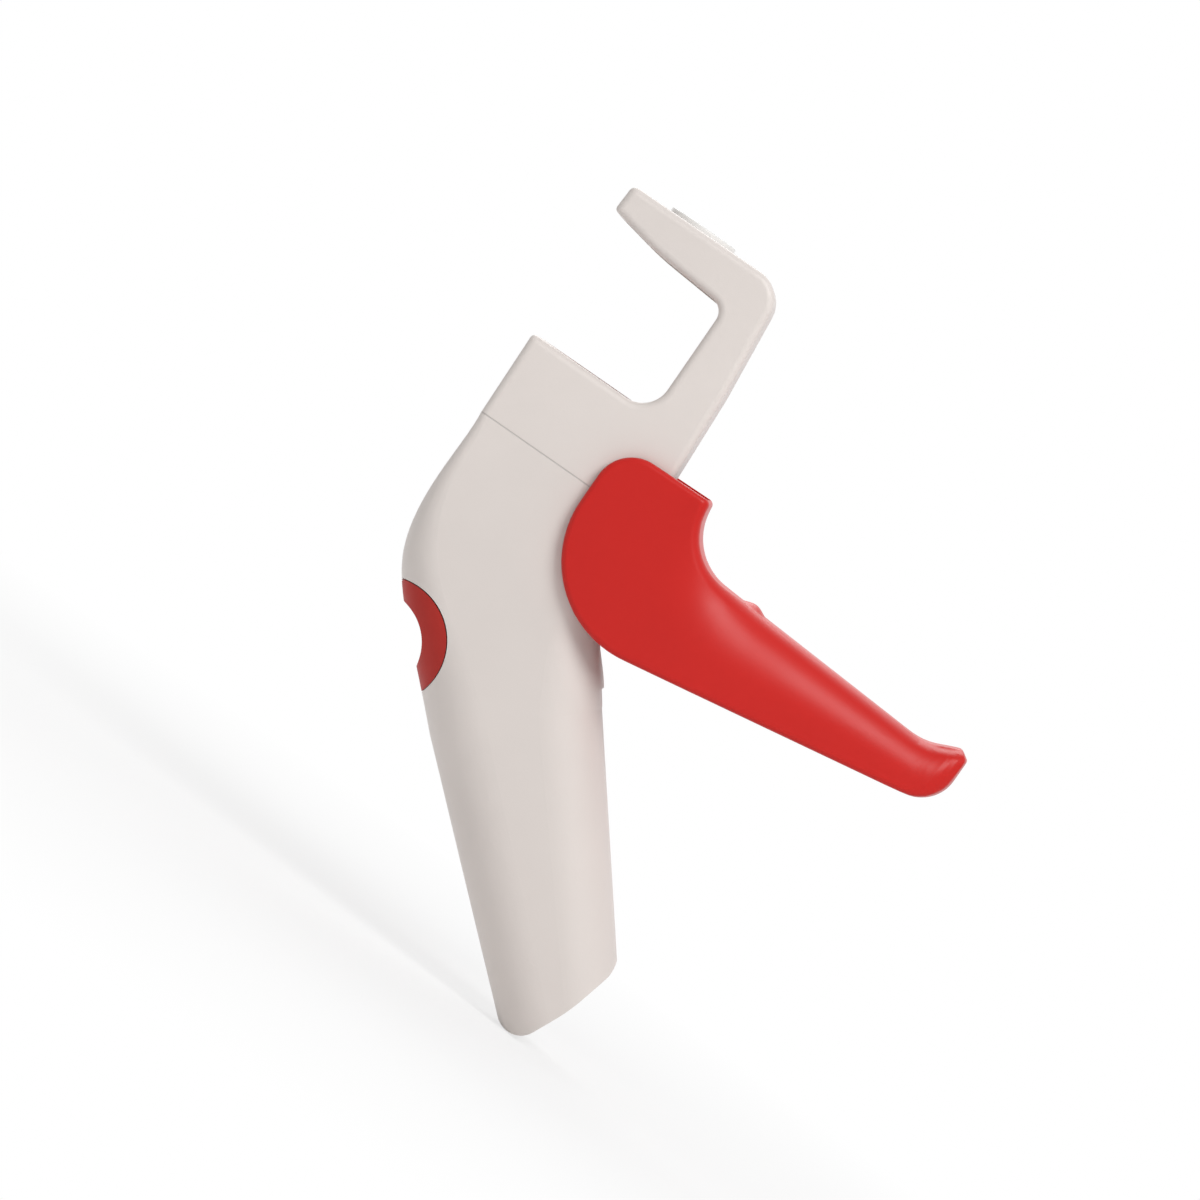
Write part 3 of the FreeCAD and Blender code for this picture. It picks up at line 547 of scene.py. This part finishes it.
def drawn_in(x, z):
    """The share by which a point of the lever comes nearer to the middle plane."""
    underside = UNDERSIDE_Z + UNDERSIDE_SLOPE * (x - UNDERSIDE_X)
    reach = ROUND_SHARE * (front_line(x) - underside)
    near = 1 - min(max(depth_behind_front(x, z), 0.0) / reach, 1.0)
    arc = (1 - math.sqrt(1 - ARC_SHARE * near * near)) / (1 - math.sqrt(1 - ARC_SHARE))
    along = smoothly((x - ROUND_START) / (ROUND_FULL - ROUND_START))
    return DRAWN_IN * along * arc


print("the front is drawn in by", DRAWN_IN, "of its half width")

# %% [markdown]
# Two low bosses stand on the web over the screws inside. On the real lever they are
# soft swellings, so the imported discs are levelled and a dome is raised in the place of
# each. A dome's height falls off smoothly and meets the web without an edge.

# %% Raise the bosses
BOSS_PLACES = [Vector((PIVOT.x + 19 * MM, side * 4.5 * MM)) for side in (-1, 1)]
BOSS_RADIUS = 3.4 * MM
BOSS_HEIGHT = 0.95 * MM
BOSS_END_X = PIVOT.x + 24 * MM
BOSS_CUT = 0.5 * MM
WEB_SKIN = 2.4 * MM
OUTWARD = 0.3


def boss_rise(x, y):
    """The height of the two domes over the web at this place."""
    rise = 0.0
    for place in BOSS_PLACES:
        away = (Vector((x, y)) - place).length / BOSS_RADIUS
        rise = max(rise, BOSS_HEIGHT * (1 - away * away) ** 2 if away < 1 else 0.0)
    return rise


def on_the_front(item, place):
    """Whether a point or face belongs to the outside of the front."""
    return item.normal.z > OUTWARD and place.z > front_line(place.x) - WEB_SKIN


def on_the_boss_web(face):
    place = face.calc_center_median()
    near = abs(place.x - BOSS_PLACES[0].x) < BOSS_RADIUS + GRID_STEP
    return near and on_the_front(face, place)


print("two bosses", round(BOSS_HEIGHT / MM, 2), "mm high")

# %% [markdown]
# The web is flat across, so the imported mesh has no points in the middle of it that
# could be lifted. Cutting the whole lever more finely would make it heavy, so the extra
# cuts go only through the faces near the bosses and the tip.


# %% Cut more finely in places
def cut_across(shape, wanted, axis, step):
    """Extra cuts along one axis through the faces that wanted picks."""
    faces = [face for face in shape.faces if wanted(face)]
    reached = [vert.co[axis] for face in faces for vert in face.verts]
    first, last = math.ceil(min(reached) / step), math.floor(max(reached) / step)
    for number in range(first, last + 1):
        edges = dict.fromkeys(edge for face in faces for edge in face.edges)
        verts = dict.fromkeys(vert for face in faces for vert in face.verts)
        made = cut_by_plane(shape, [*verts, *edges, *faces], axis, number * step)
        faces = [piece for piece in made if isinstance(piece, bmesh.types.BMFace)]


# %% [markdown]
# The thumb tip of a moulded lever has no sharp corner. Each point there is moved some
# times towards the middle of its neighbours, which rounds corners of any direction. A
# bevel would need the edges picked one by one. Averaging also shortens the tip a
# little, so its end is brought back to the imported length. The end is crowned as well:
# its sides fall back from its middle.

# %% Soften the thumb tip
TIP_START_X = PIVOT.x + 61 * MM
TIP_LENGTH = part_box("lever")[1].x - TIP_START_X
TIP_PASSES = 14
TIP_CROWN = 9.0


def on_the_thumb_tip(face):
    return max(vert.co.x for vert in face.verts) > TIP_START_X


def tip_share(x):
    return smoothly((x - TIP_START_X) / TIP_LENGTH)


def soften_tip(shape):
    """Rounds the thumb tip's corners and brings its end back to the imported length."""
    tip = [vert for vert in shape.verts if vert.co.x > TIP_START_X]
    end = max(vert.co.x for vert in tip)
    every_way = {f"use_axis_{axis}": True for axis in "xyz"}
    for _ in range(TIP_PASSES):
        bmesh.ops.smooth_vert(shape, verts=tip, factor=0.5, **every_way)
    short = end - max(vert.co.x for vert in tip)
    for vert in tip:
        share = smoothly((vert.co.x - TIP_START_X) / (end - TIP_START_X - short))
        vert.co.x += short * share


print("thumb tip", round(TIP_LENGTH / MM, 1), "mm long")

# %% [markdown]
# Every point of the lever is moved once, by all of these measures together. Sculpting
# would do the same by hand, but a rule gives both cheeks exactly the same form.


# %% Move one point of the lever
def move_point(vert):
    """Levels, draws in, domes and crowns one point of the lever."""
    point = vert.co
    front = front_line(point.x)
    if NECK_X < point.x < BOSS_END_X and point.z > front:
        point.z = front
    point.y *= 1 - drawn_in(point.x, point.z)
    if on_the_front(vert, point):
        point.z += boss_rise(point.x, point.y)
    point.x -= TIP_CROWN * point.y**2 * tip_share(point.x)


# %% [markdown]
# Now the lever is put together: cut, levelled, drawn in, domed and softened. It rides
# on the lever's body, so it turns about the pivot with the crank, and it takes the
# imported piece's place in the picture.


# %% Shape the lever
def drop_strays(shape):
    """Deletes faces that hang on by one edge."""
    open_edges = {edge for edge in shape.edges if len(edge.link_faces) == 1}
    stray = [face for face in shape.faces if open_edges.intersection(face.edges)]
    bmesh.ops.delete(shape, geom=stray, context="FACES")


def shape_lever():
    """The lever with its rounded grip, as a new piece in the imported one's place."""
    shape = gridded("lever", GRID_STEP)
    cut_across(shape, on_the_boss_web, axis=0, step=BOSS_CUT)
    cut_across(shape, on_the_boss_web, axis=1, step=BOSS_CUT)
    cut_across(shape, on_the_thumb_tip, axis=1, step=GRID_STEP)
    shape.normal_update()
    for vert in shape.verts:
        move_point(vert)
    soften_tip(shape)
    bmesh.ops.dissolve_degenerate(shape, edges=shape.edges, dist=SLIVER)
    bmesh.ops.triangulate(shape, faces=shape.faces)
    drop_strays(shape)
    mesh = bpy.data.meshes.new("lever_grip")
    shape.to_mesh(mesh)
    shape.free()
    mesh.materials.append(lever_plastic)
    smooth_by_angle(mesh, degrees=32)
    lever = bpy.data.objects.new("lever_grip", mesh)
    bpy.context.scene.collection.objects.link(lever)
    return lever


lever_grip = shape_lever()
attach(lever_grip, "lever")
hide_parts("lever")
print("lever:", len(lever_grip.data.polygons), "faces")

# %% [markdown]
# The screws are small pan-head ones with a cross recess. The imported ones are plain
# stepped cylinders, so each is made anew where the old one lies. Its outline is turned
# round the axis, which is how such a head is shaped, and a cross with tapering arms is
# then cut from it by a Boolean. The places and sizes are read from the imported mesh:
# every separate island of faces in it is one screw.


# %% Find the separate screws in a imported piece
def islands(node):
    """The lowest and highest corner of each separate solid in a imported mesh."""
    shape = bmesh.new()
    shape.from_mesh(node.data)
    bmesh.ops.remove_doubles(shape, verts=shape.verts, dist=CUT_SLACK)
    left = set(shape.verts)
    found = []
    while left:
        reached = [left.pop()]
        corners = []
        while reached:
            vert = reached.pop()
            corners.append(vert.co.copy())
            for edge in vert.link_edges:
                other = edge.other_vert(vert)
                if other in left:
                    left.remove(other)
                    reached.append(other)
        low = Vector([min(c[axis] for c in corners) for axis in range(3)])
        high = Vector([max(c[axis] for c in corners) for axis in range(3)])
        found.append((low, high))
    shape.free()
    return sorted(found, key=lambda pair: tuple(pair[0]))


print("screws in the handle:", len(islands(NODES["shell_screws"])))
print("screws in the crank:", len(islands(NODES["crank_screws"])))


# %% [markdown]
# The head's dome is an arc, the neck under it has a small fillet, and the thread is a
# row of shallow ridges. A real thread is a helix, but at this size rings look the same
# and close up more simply. So all of the screw is one outline of radius and height.

# %% Draw a screw's outline
SHANK_RADIUS = 1.1 * MM
POINT_RADIUS = 0.385 * MM
POINT_RISE = 0.05 * MM
THREAD_PITCH = 0.9 * MM
THREAD_DEPTH = 0.18 * MM
THREAD_START = 0.9 * MM
THREAD_MARGIN = 2.2 * MM
THREAD_CREST = (0.40, 0.55)
NECK_LENGTH = 0.9 * MM
NECK_FILLET = 0.2 * MM
NECK_SHARE = 0.98
HEAD_HEIGHT = 1.5 * MM
HEAD_RADIUS = 2.1 * MM
HEAD_CHAMFER = 0.06 * MM
HEAD_UNDERSIDE = 0.97
HEAD_RIM = 0.35
DOME_STEPS = 8


def screw_outline(length):
    """Radius and height along one side, from the tip at 0 up to the dome."""
    neck = length - HEAD_HEIGHT
    root = SHANK_RADIUS - THREAD_DEPTH
    outline = [(0.0, 0.0), (POINT_RADIUS, POINT_RISE)]
    for turn in range(int((neck - THREAD_MARGIN) / THREAD_PITCH)):
        low = THREAD_START + turn * THREAD_PITCH
        outline.append((root, low))
        for crest in THREAD_CREST:
            outline.append((SHANK_RADIUS, low + crest * THREAD_PITCH))
    outline.append((root, neck - NECK_LENGTH))
    outline.append((SHANK_RADIUS * NECK_SHARE, neck - NECK_FILLET))
    outline.append((HEAD_RADIUS * HEAD_UNDERSIDE, neck))
    outline.append((HEAD_RADIUS, neck + HEAD_CHAMFER))
    outline.append((HEAD_RADIUS, neck + HEAD_RIM * HEAD_HEIGHT))
    for step in range(1, DOME_STEPS + 1):
        turn = math.radians(90) * step / DOME_STEPS
        height = neck + HEAD_HEIGHT * (HEAD_RIM + (1 - HEAD_RIM) * math.sin(turn))
        outline.append((max(HEAD_RADIUS * math.cos(turn), 0.0), height))
    return outline


print("outline of a 10 mm screw:", len(screw_outline(10 * MM)), "points")

# %% [markdown]
# On a lathe the outline is what the cutter follows while the screw turns. Here spin
# does the same: it copies the outline round the axis and joins the copies by faces. A
# Screw modifier would also work, but the cross is cut from the finished form next. The
# outline starts and ends on the axis, so the turned form is closed.

# %% Spin the outline round its axis
SPIN_STEPS = 40


def turned(name, outline):
    """A closed mesh from an outline spun round Z."""
    shape = bmesh.new()
    verts = [shape.verts.new((radius, 0, height)) for radius, height in outline]
    edges = [shape.edges.new(pair) for pair in zip(verts, verts[1:])]
    about = {"cent": (0, 0, 0), "axis": (0, 0, 1), "angle": 2 * math.pi}
    bmesh.ops.spin(shape, geom=verts + edges, steps=SPIN_STEPS, **about)
    bmesh.ops.remove_doubles(shape, verts=shape.verts, dist=CUT_SLACK)
    bmesh.ops.recalc_face_normals(shape, faces=shape.faces)
    mesh = bpy.data.meshes.new(name)
    shape.to_mesh(mesh)
    shape.free()
    return mesh


# %% [markdown]
# The recess is a cross whose arms narrow towards the bottom, as the driver's do. Two
# crossed wedges would overlap in the middle, and a Boolean can go wrong there. So the
# tool that cuts it is one closed form: two rings of twelve corners with walls between.

# %% Draw the cross
RECESS_REACH = 1.15 * MM
RECESS_WIDTH = 0.28 * MM
RECESS_DEPTH = 0.95 * MM
RECESS_TAPER = 0.55
RECESS_STANDS_OUT = 0.5 * MM


def cross_ring(shape, height, narrow):
    """The twelve corners of a cross, in order round it."""
    far, near = RECESS_REACH * narrow, RECESS_WIDTH * narrow
    quarter = [(near, far), (near, near), (far, near)]
    ring = []
    for cos, sin in ((1, 0), (0, -1), (-1, 0), (0, 1)):
        for x, y in quarter:
            ring.append(shape.verts.new((x * cos - y * sin, x * sin + y * cos, height)))
    return ring


def cross_tool(top):
    """A tapering cross that stands a little out of the head."""
    shape = bmesh.new()
    upper = cross_ring(shape, top + RECESS_STANDS_OUT, 1.0)
    lower = cross_ring(shape, top - RECESS_DEPTH, RECESS_TAPER)
    shape.faces.new(upper)
    shape.faces.new(lower)
    for corner in range(len(upper)):
        after = (corner + 1) % len(upper)
        shape.faces.new((upper[corner], upper[after], lower[after], lower[corner]))
    bmesh.ops.recalc_face_normals(shape, faces=shape.faces)
    bmesh.ops.triangulate(shape, faces=shape.faces)
    mesh = bpy.data.meshes.new("cross_tool")
    shape.to_mesh(mesh)
    shape.free()
    return bpy.data.objects.new("cross_tool", mesh)


print("recess", round(RECESS_DEPTH / MM, 2), "mm deep")

# %% [markdown]
# The Boolean modifier subtracts the cross from the head, and the result is stored as
# the screw's own mesh, so nothing is left to work out when the tool moves. It is cut at
# a thousand times the size, because a Boolean merges points that lie very close.

# %% Cut the cross out of the head
WORK_SCALE = 1000.0


def screw_mesh(name, length):
    """One screw along Z, its tip at the origin and its head uppermost."""
    scene = bpy.context.scene.collection
    blank = bpy.data.objects.new(name, turned(name, screw_outline(length)))
    tool = cross_tool(length)
    for item in (blank, tool):
        item.data.transform(Matrix.Scale(WORK_SCALE, 4))
        scene.objects.link(item)
    cut = blank.modifiers.new("recess", "BOOLEAN")
    cut.operation = "DIFFERENCE"
    cut.solver = "EXACT"
    cut.object = tool
    bpy.context.view_layer.update()
    view = bpy.context.evaluated_depsgraph_get()
    mesh = bpy.data.meshes.new_from_object(blank.evaluated_get(view))
    for spare in (blank.data, tool.data):
        bpy.data.meshes.remove(spare)
    mesh.transform(Matrix.Scale(1 / WORK_SCALE, 4))
    mesh.name = name
    mesh.materials.clear()
    mesh.materials.append(wire_steel)
    mesh.shade_smooth()
    return mesh


# %% [markdown]
# Each new screw stands in its old one's place: the box of the old one gives its axis
# and its length, and the wider end is the head. The cross of every screw is turned a
# different way, because nobody lines them up when tightening.

# %% Put the screws in
FACING = {
    "shell_screws": Vector((0, 1, 0)),
    "crank_screws": Vector((0, 0, -1)),
}
CROSS_TURNS = (17, 63, 40, 81)


def fit_screws(node_name, body):
    """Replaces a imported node's plain screws by turned ones with a recess."""
    upward = FACING[node_name]
    made = []
    for number, (low, high) in enumerate(islands(NODES[node_name])):
        centre = (low + high) / 2
        length = abs((high - low).dot(upward))
        mesh = screw_mesh(f"{node_name}_{number}", length)
        smooth_by_angle(mesh, degrees=35)
        screw = bpy.data.objects.new(mesh.name, mesh)
        bpy.context.scene.collection.objects.link(screw)
        facing = upward.to_track_quat("Z", "Y").to_matrix().to_4x4()
        cross_turn = math.radians(CROSS_TURNS[number % len(CROSS_TURNS)])
        spin = Matrix.Rotation(cross_turn, 4, "Z")
        tip = centre - upward * length / 2
        screw.matrix_world = Matrix.Translation(tip) @ facing @ spin
        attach(screw, body)
        made.append(screw)
    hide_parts(node_name)
    print(node_name, len(made), "screws,", round(length / MM, 1), "mm long")
    return made


shell_screws = fit_screws("shell_screws", "body")
crank_screws = fit_screws("crank_screws", "lever")

# %% [markdown]
# The return spring is a coil of round wire that stands between the washer and the
# carrier's cup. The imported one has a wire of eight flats, so this one is wound again
# with a round section. First comes the line that the wire follows, a rising helix. Its
# two end turns lie close together, as on a ground compression spring.

# %% Follow the wire
WIRE = 0.9 * MM
TURNS = 8.5
END_GAP = 0.5 * MM
SPRING_LOW, SPRING_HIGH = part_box("return_spring")
MEAN_RADIUS = SPRING_HIGH.x - WIRE / 2
LOWEST = SPRING_LOW.z + WIRE / 2
HIGHEST = SPRING_HIGH.z - WIRE / 2


def spring_point(turned_by):
    """The wire's centre after so many turns, counted from the bottom."""
    closed = WIRE + END_GAP
    steep = (HIGHEST - LOWEST - 2 * closed) / (TURNS - 2)
    middle = max(0.0, min(turned_by, TURNS - 1) - 1.0)
    rise = closed * min(turned_by, 1.0) + steep * middle
    rise += closed * max(0.0, turned_by - (TURNS - 1))
    angle = 2 * math.pi * turned_by
    return Vector((
        MEAN_RADIUS * math.cos(angle), MEAN_RADIUS * math.sin(angle), LOWEST + rise
    ))


RISE = round((HIGHEST - LOWEST) / MM, 1)
print(TURNS, "turns,", RISE, "mm between the wire centres at the ends")

# %% [markdown]
# The wire itself is a tube: rings of points are set square to the helix and skinned. A
# curve with a bevel would also do, but this way the coil is a mesh from the start.

# %% Wind the spring
WIRE_SIDES = 16
STEPS_A_TURN = 40
TURN_AHEAD = 0.002


def wire_ring(shape, turned_by):
    """One ring of points round the wire, square to it."""
    along = spring_point(turned_by + TURN_AHEAD) - spring_point(turned_by - TURN_AHEAD)
    centre = spring_point(turned_by)
    outward = Vector((centre.x, centre.y, 0)).normalized()
    upward = along.normalized().cross(outward).normalized()
    ring = []
    for side in range(WIRE_SIDES):
        turn = 2 * math.pi * side / WIRE_SIDES
        offset = outward * math.cos(turn) + upward * math.sin(turn)
        ring.append(shape.verts.new(centre + offset * WIRE / 2))
    return ring


def wind_spring():
    shape = bmesh.new()
    count = int(TURNS * STEPS_A_TURN)
    rings = [wire_ring(shape, step / STEPS_A_TURN) for step in range(count + 1)]
    for first, second in zip(rings, rings[1:]):
        for side in range(WIRE_SIDES):
            after = (side + 1) % WIRE_SIDES
            shape.faces.new((first[side], first[after], second[after], second[side]))
    shape.faces.new(rings[0])
    shape.faces.new(rings[-1])
    bmesh.ops.recalc_face_normals(shape, faces=shape.faces)
    mesh = bpy.data.meshes.new("return_coil")
    shape.to_mesh(mesh)
    shape.free()
    mesh.materials.append(wire_steel)
    smooth_by_angle(mesh, degrees=50)
    coil = bpy.data.objects.new("return_coil", mesh)
    bpy.context.scene.collection.objects.link(coil)
    return coil


return_coil = wind_spring()
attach(return_coil, "body")
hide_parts("return_spring")
print("coil:", len(return_coil.data.polygons), "faces")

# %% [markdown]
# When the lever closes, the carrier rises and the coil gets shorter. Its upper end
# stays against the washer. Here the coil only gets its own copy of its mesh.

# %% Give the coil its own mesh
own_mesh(return_coil)

# %% [markdown]
# The floor is a plain pale sheet just under the lowest point of the tool. CENTRE is the
# point in the middle of the picture. The photograph has pure white round the object. A
# floor that is lit to white would take too strong a lamp, so Light Path helps: rays
# from the camera, and reflections, see a plain white, mixed with a share of the lit
# floor, which keeps the shadow.

# %% Lay the floor
CENTRE = Vector((25.8, -15.5, -36.2)) * MM
FLOOR_REACH = 6.0
FLOOR_GREY = (0.80, 0.80, 0.80)
SPECK_SCALE = 12
FLOOR_GAP = 0.2 * MM
SHADOW_SHARE = 0.30
SHADOW_REACH = 0.30


def floor_material():
    finish = Finish("floor_white", Roughness=0.9)
    speck = finish.noise(SPECK_SCALE, 3)
    pale = finish.blend(speck, shade(FLOOR_GREY, 1.0), shade(FLOOR_GREY, 1.05))
    finish.feed(Base_Color=pale)
    camera_ray, mirror_ray, glass_ray = finish.seen_directly()
    seen = camera_ray + mirror_ray + glass_ray
    away = finish.node("ShaderNodeVectorMath", {"operation": "LENGTH"}, {0: finish.place})
    away = Tone(finish, away.outputs["Value"]) * (1 / SHADOW_REACH)
    share = finish.ramp(away, (0.15, SHADOW_SHARE), (1.0, 0.0))
    white = finish.node("ShaderNodeEmission", {}, {"Color": (1, 1, 1, 1), "Strength": 1.0})
    sides = {0: seen * (1 - share), 1: finish.shader.outputs[0], 2: white.outputs[0]}
    mixed = finish.node("ShaderNodeMixShader", {}, sides)
    finish.tree.links.new(mixed.outputs[0], finish.output.inputs["Surface"])
    return finish.material


def lay_floor():
    shape = bmesh.new()
    bmesh.ops.create_grid(shape, x_segments=1, y_segments=1, size=FLOOR_REACH)
    mesh = bpy.data.meshes.new("floor")
    shape.to_mesh(mesh)
    shape.free()
    mesh.materials.append(floor_material())
    floor = bpy.data.objects.new("floor", mesh)
    floor.location = (CENTRE.x, CENTRE.y, CAD_BOX[0][2] - FLOOR_GAP)
    bpy.context.scene.collection.objects.link(floor)
    return floor


floor = lay_floor()
print("floor at", round(floor.location.z / MM, 1), "mm")

# %% [markdown]
# The world is white to the camera and to reflections, and gives a weaker, even light
# to the surfaces, so that the shaded side stays readable and nothing clips.

# %% White surroundings
FILL_LIGHT = 0.42


def white_world():
    world = bpy.data.worlds.new("studio")
    world.use_nodes = True
    nodes = NodeTree(world.node_tree)
    camera_ray, mirror_ray, glass_ray = nodes.seen_directly()
    seen = camera_ray.at_least(mirror_ray).at_least(glass_ray)
    level = seen * (1 - FILL_LIGHT) + FILL_LIGHT
    sky = nodes.node("ShaderNodeBackground", {}, {"Color": (1, 1, 1, 1), "Strength": level})
    nodes.node("ShaderNodeOutputWorld", {}, {"Surface": sky.outputs[0]})
    bpy.context.scene.world = world


white_world()
print("world fill", FILL_LIGHT)

# %% [markdown]
# The photograph shows the tool square from its right side, rolled so that the handle
# runs down to the right. The camera's right and up directions follow from that roll.
# It stands a little to one side and above, because a narrow strip of the far cheek of
# the lever shows. A long lens keeps the sides parallel.

# %% Place the camera
ROLL = math.radians(34.8)
TOWARD_CAMERA = Vector((0.0227, -0.9992, 0.0332)).normalized()
UP_IN_PICTURE = Vector((-math.sin(ROLL), 0, math.cos(ROLL)))
PICTURE_WIDTH = 240 * MM
SENSOR = 36.0
LENS = 200.0
FARTHEST_SEEN = 20.0


def camera_frame(toward, up):
    """The rotation of a camera that looks against toward, with up upright."""
    across = up.cross(toward).normalized()
    upright = toward.cross(across).normalized()
    return Matrix((across, upright, toward)).transposed()


camera_data = bpy.data.cameras.new("camera")
camera_data.lens = LENS
camera_data.sensor_width = SENSOR
camera_data.clip_end = FARTHEST_SEEN
camera = bpy.data.objects.new("camera", camera_data)
bpy.context.scene.collection.objects.link(camera)
DISTANCE = PICTURE_WIDTH * LENS / SENSOR
turn = camera_frame(TOWARD_CAMERA, UP_IN_PICTURE)
place = Matrix.Translation(CENTRE + TOWARD_CAMERA * DISTANCE)
camera.matrix_world = place @ turn.to_4x4()
bpy.context.scene.camera = camera
print("camera", round(DISTANCE, 3), "m away")

# %% [markdown]
# One large soft lamp stands to the upper right of the picture, in front of the tool:
# the shade of the lever falls to the left on the body. A weaker one fills from the
# left, and a third lights the far side for the other views. Sun lamps would give hard
# edges to the shade, so area lamps are used; their power goes with the square of the
# distance. A lamp's direction is given as right, up and forward in the picture, its
# distance and size are in metres, and its power is in watts.

# %% Set the lamps
RIGHT_IN_PICTURE = Vector((math.cos(ROLL), 0, math.sin(ROLL)))
LAMPS = {
    "key": dict(right=0.9, up=0.5, forward=0.9, distance=0.85, size=0.45, power=4.0),
    "fill": dict(right=-0.9, up=0.1, forward=1.0, distance=1.3, size=0.9, power=0.8),
    "back": dict(right=0.3, up=0.9, forward=-1.0, distance=1.3, size=0.9, power=5.0),
}


def set_lamp(name, right, up, forward, distance, size, power):
    data = bpy.data.lights.new(name, "AREA")
    data.shape = "DISK"
    data.size = size
    data.energy = power
    lamp = bpy.data.objects.new(name, data)
    direction = RIGHT_IN_PICTURE * right + UP_IN_PICTURE * up + TOWARD_CAMERA * forward
    direction.normalize()
    turn = direction.to_track_quat("Z", "Y").to_matrix().to_4x4()
    lamp.matrix_world = Matrix.Translation(CENTRE + direction * distance) @ turn
    bpy.context.scene.collection.objects.link(lamp)


for name, settings in LAMPS.items():
    set_lamp(name, **settings)
print("lamps:", ", ".join(LAMPS))

# %% [markdown]
# The colours are written as they should show, so the view transform is Standard, which
# changes nothing between the light and the picture.

# %% View the colours plainly
bpy.context.scene.view_settings.view_transform = "Standard"
print("view transform", bpy.context.scene.view_settings.view_transform)
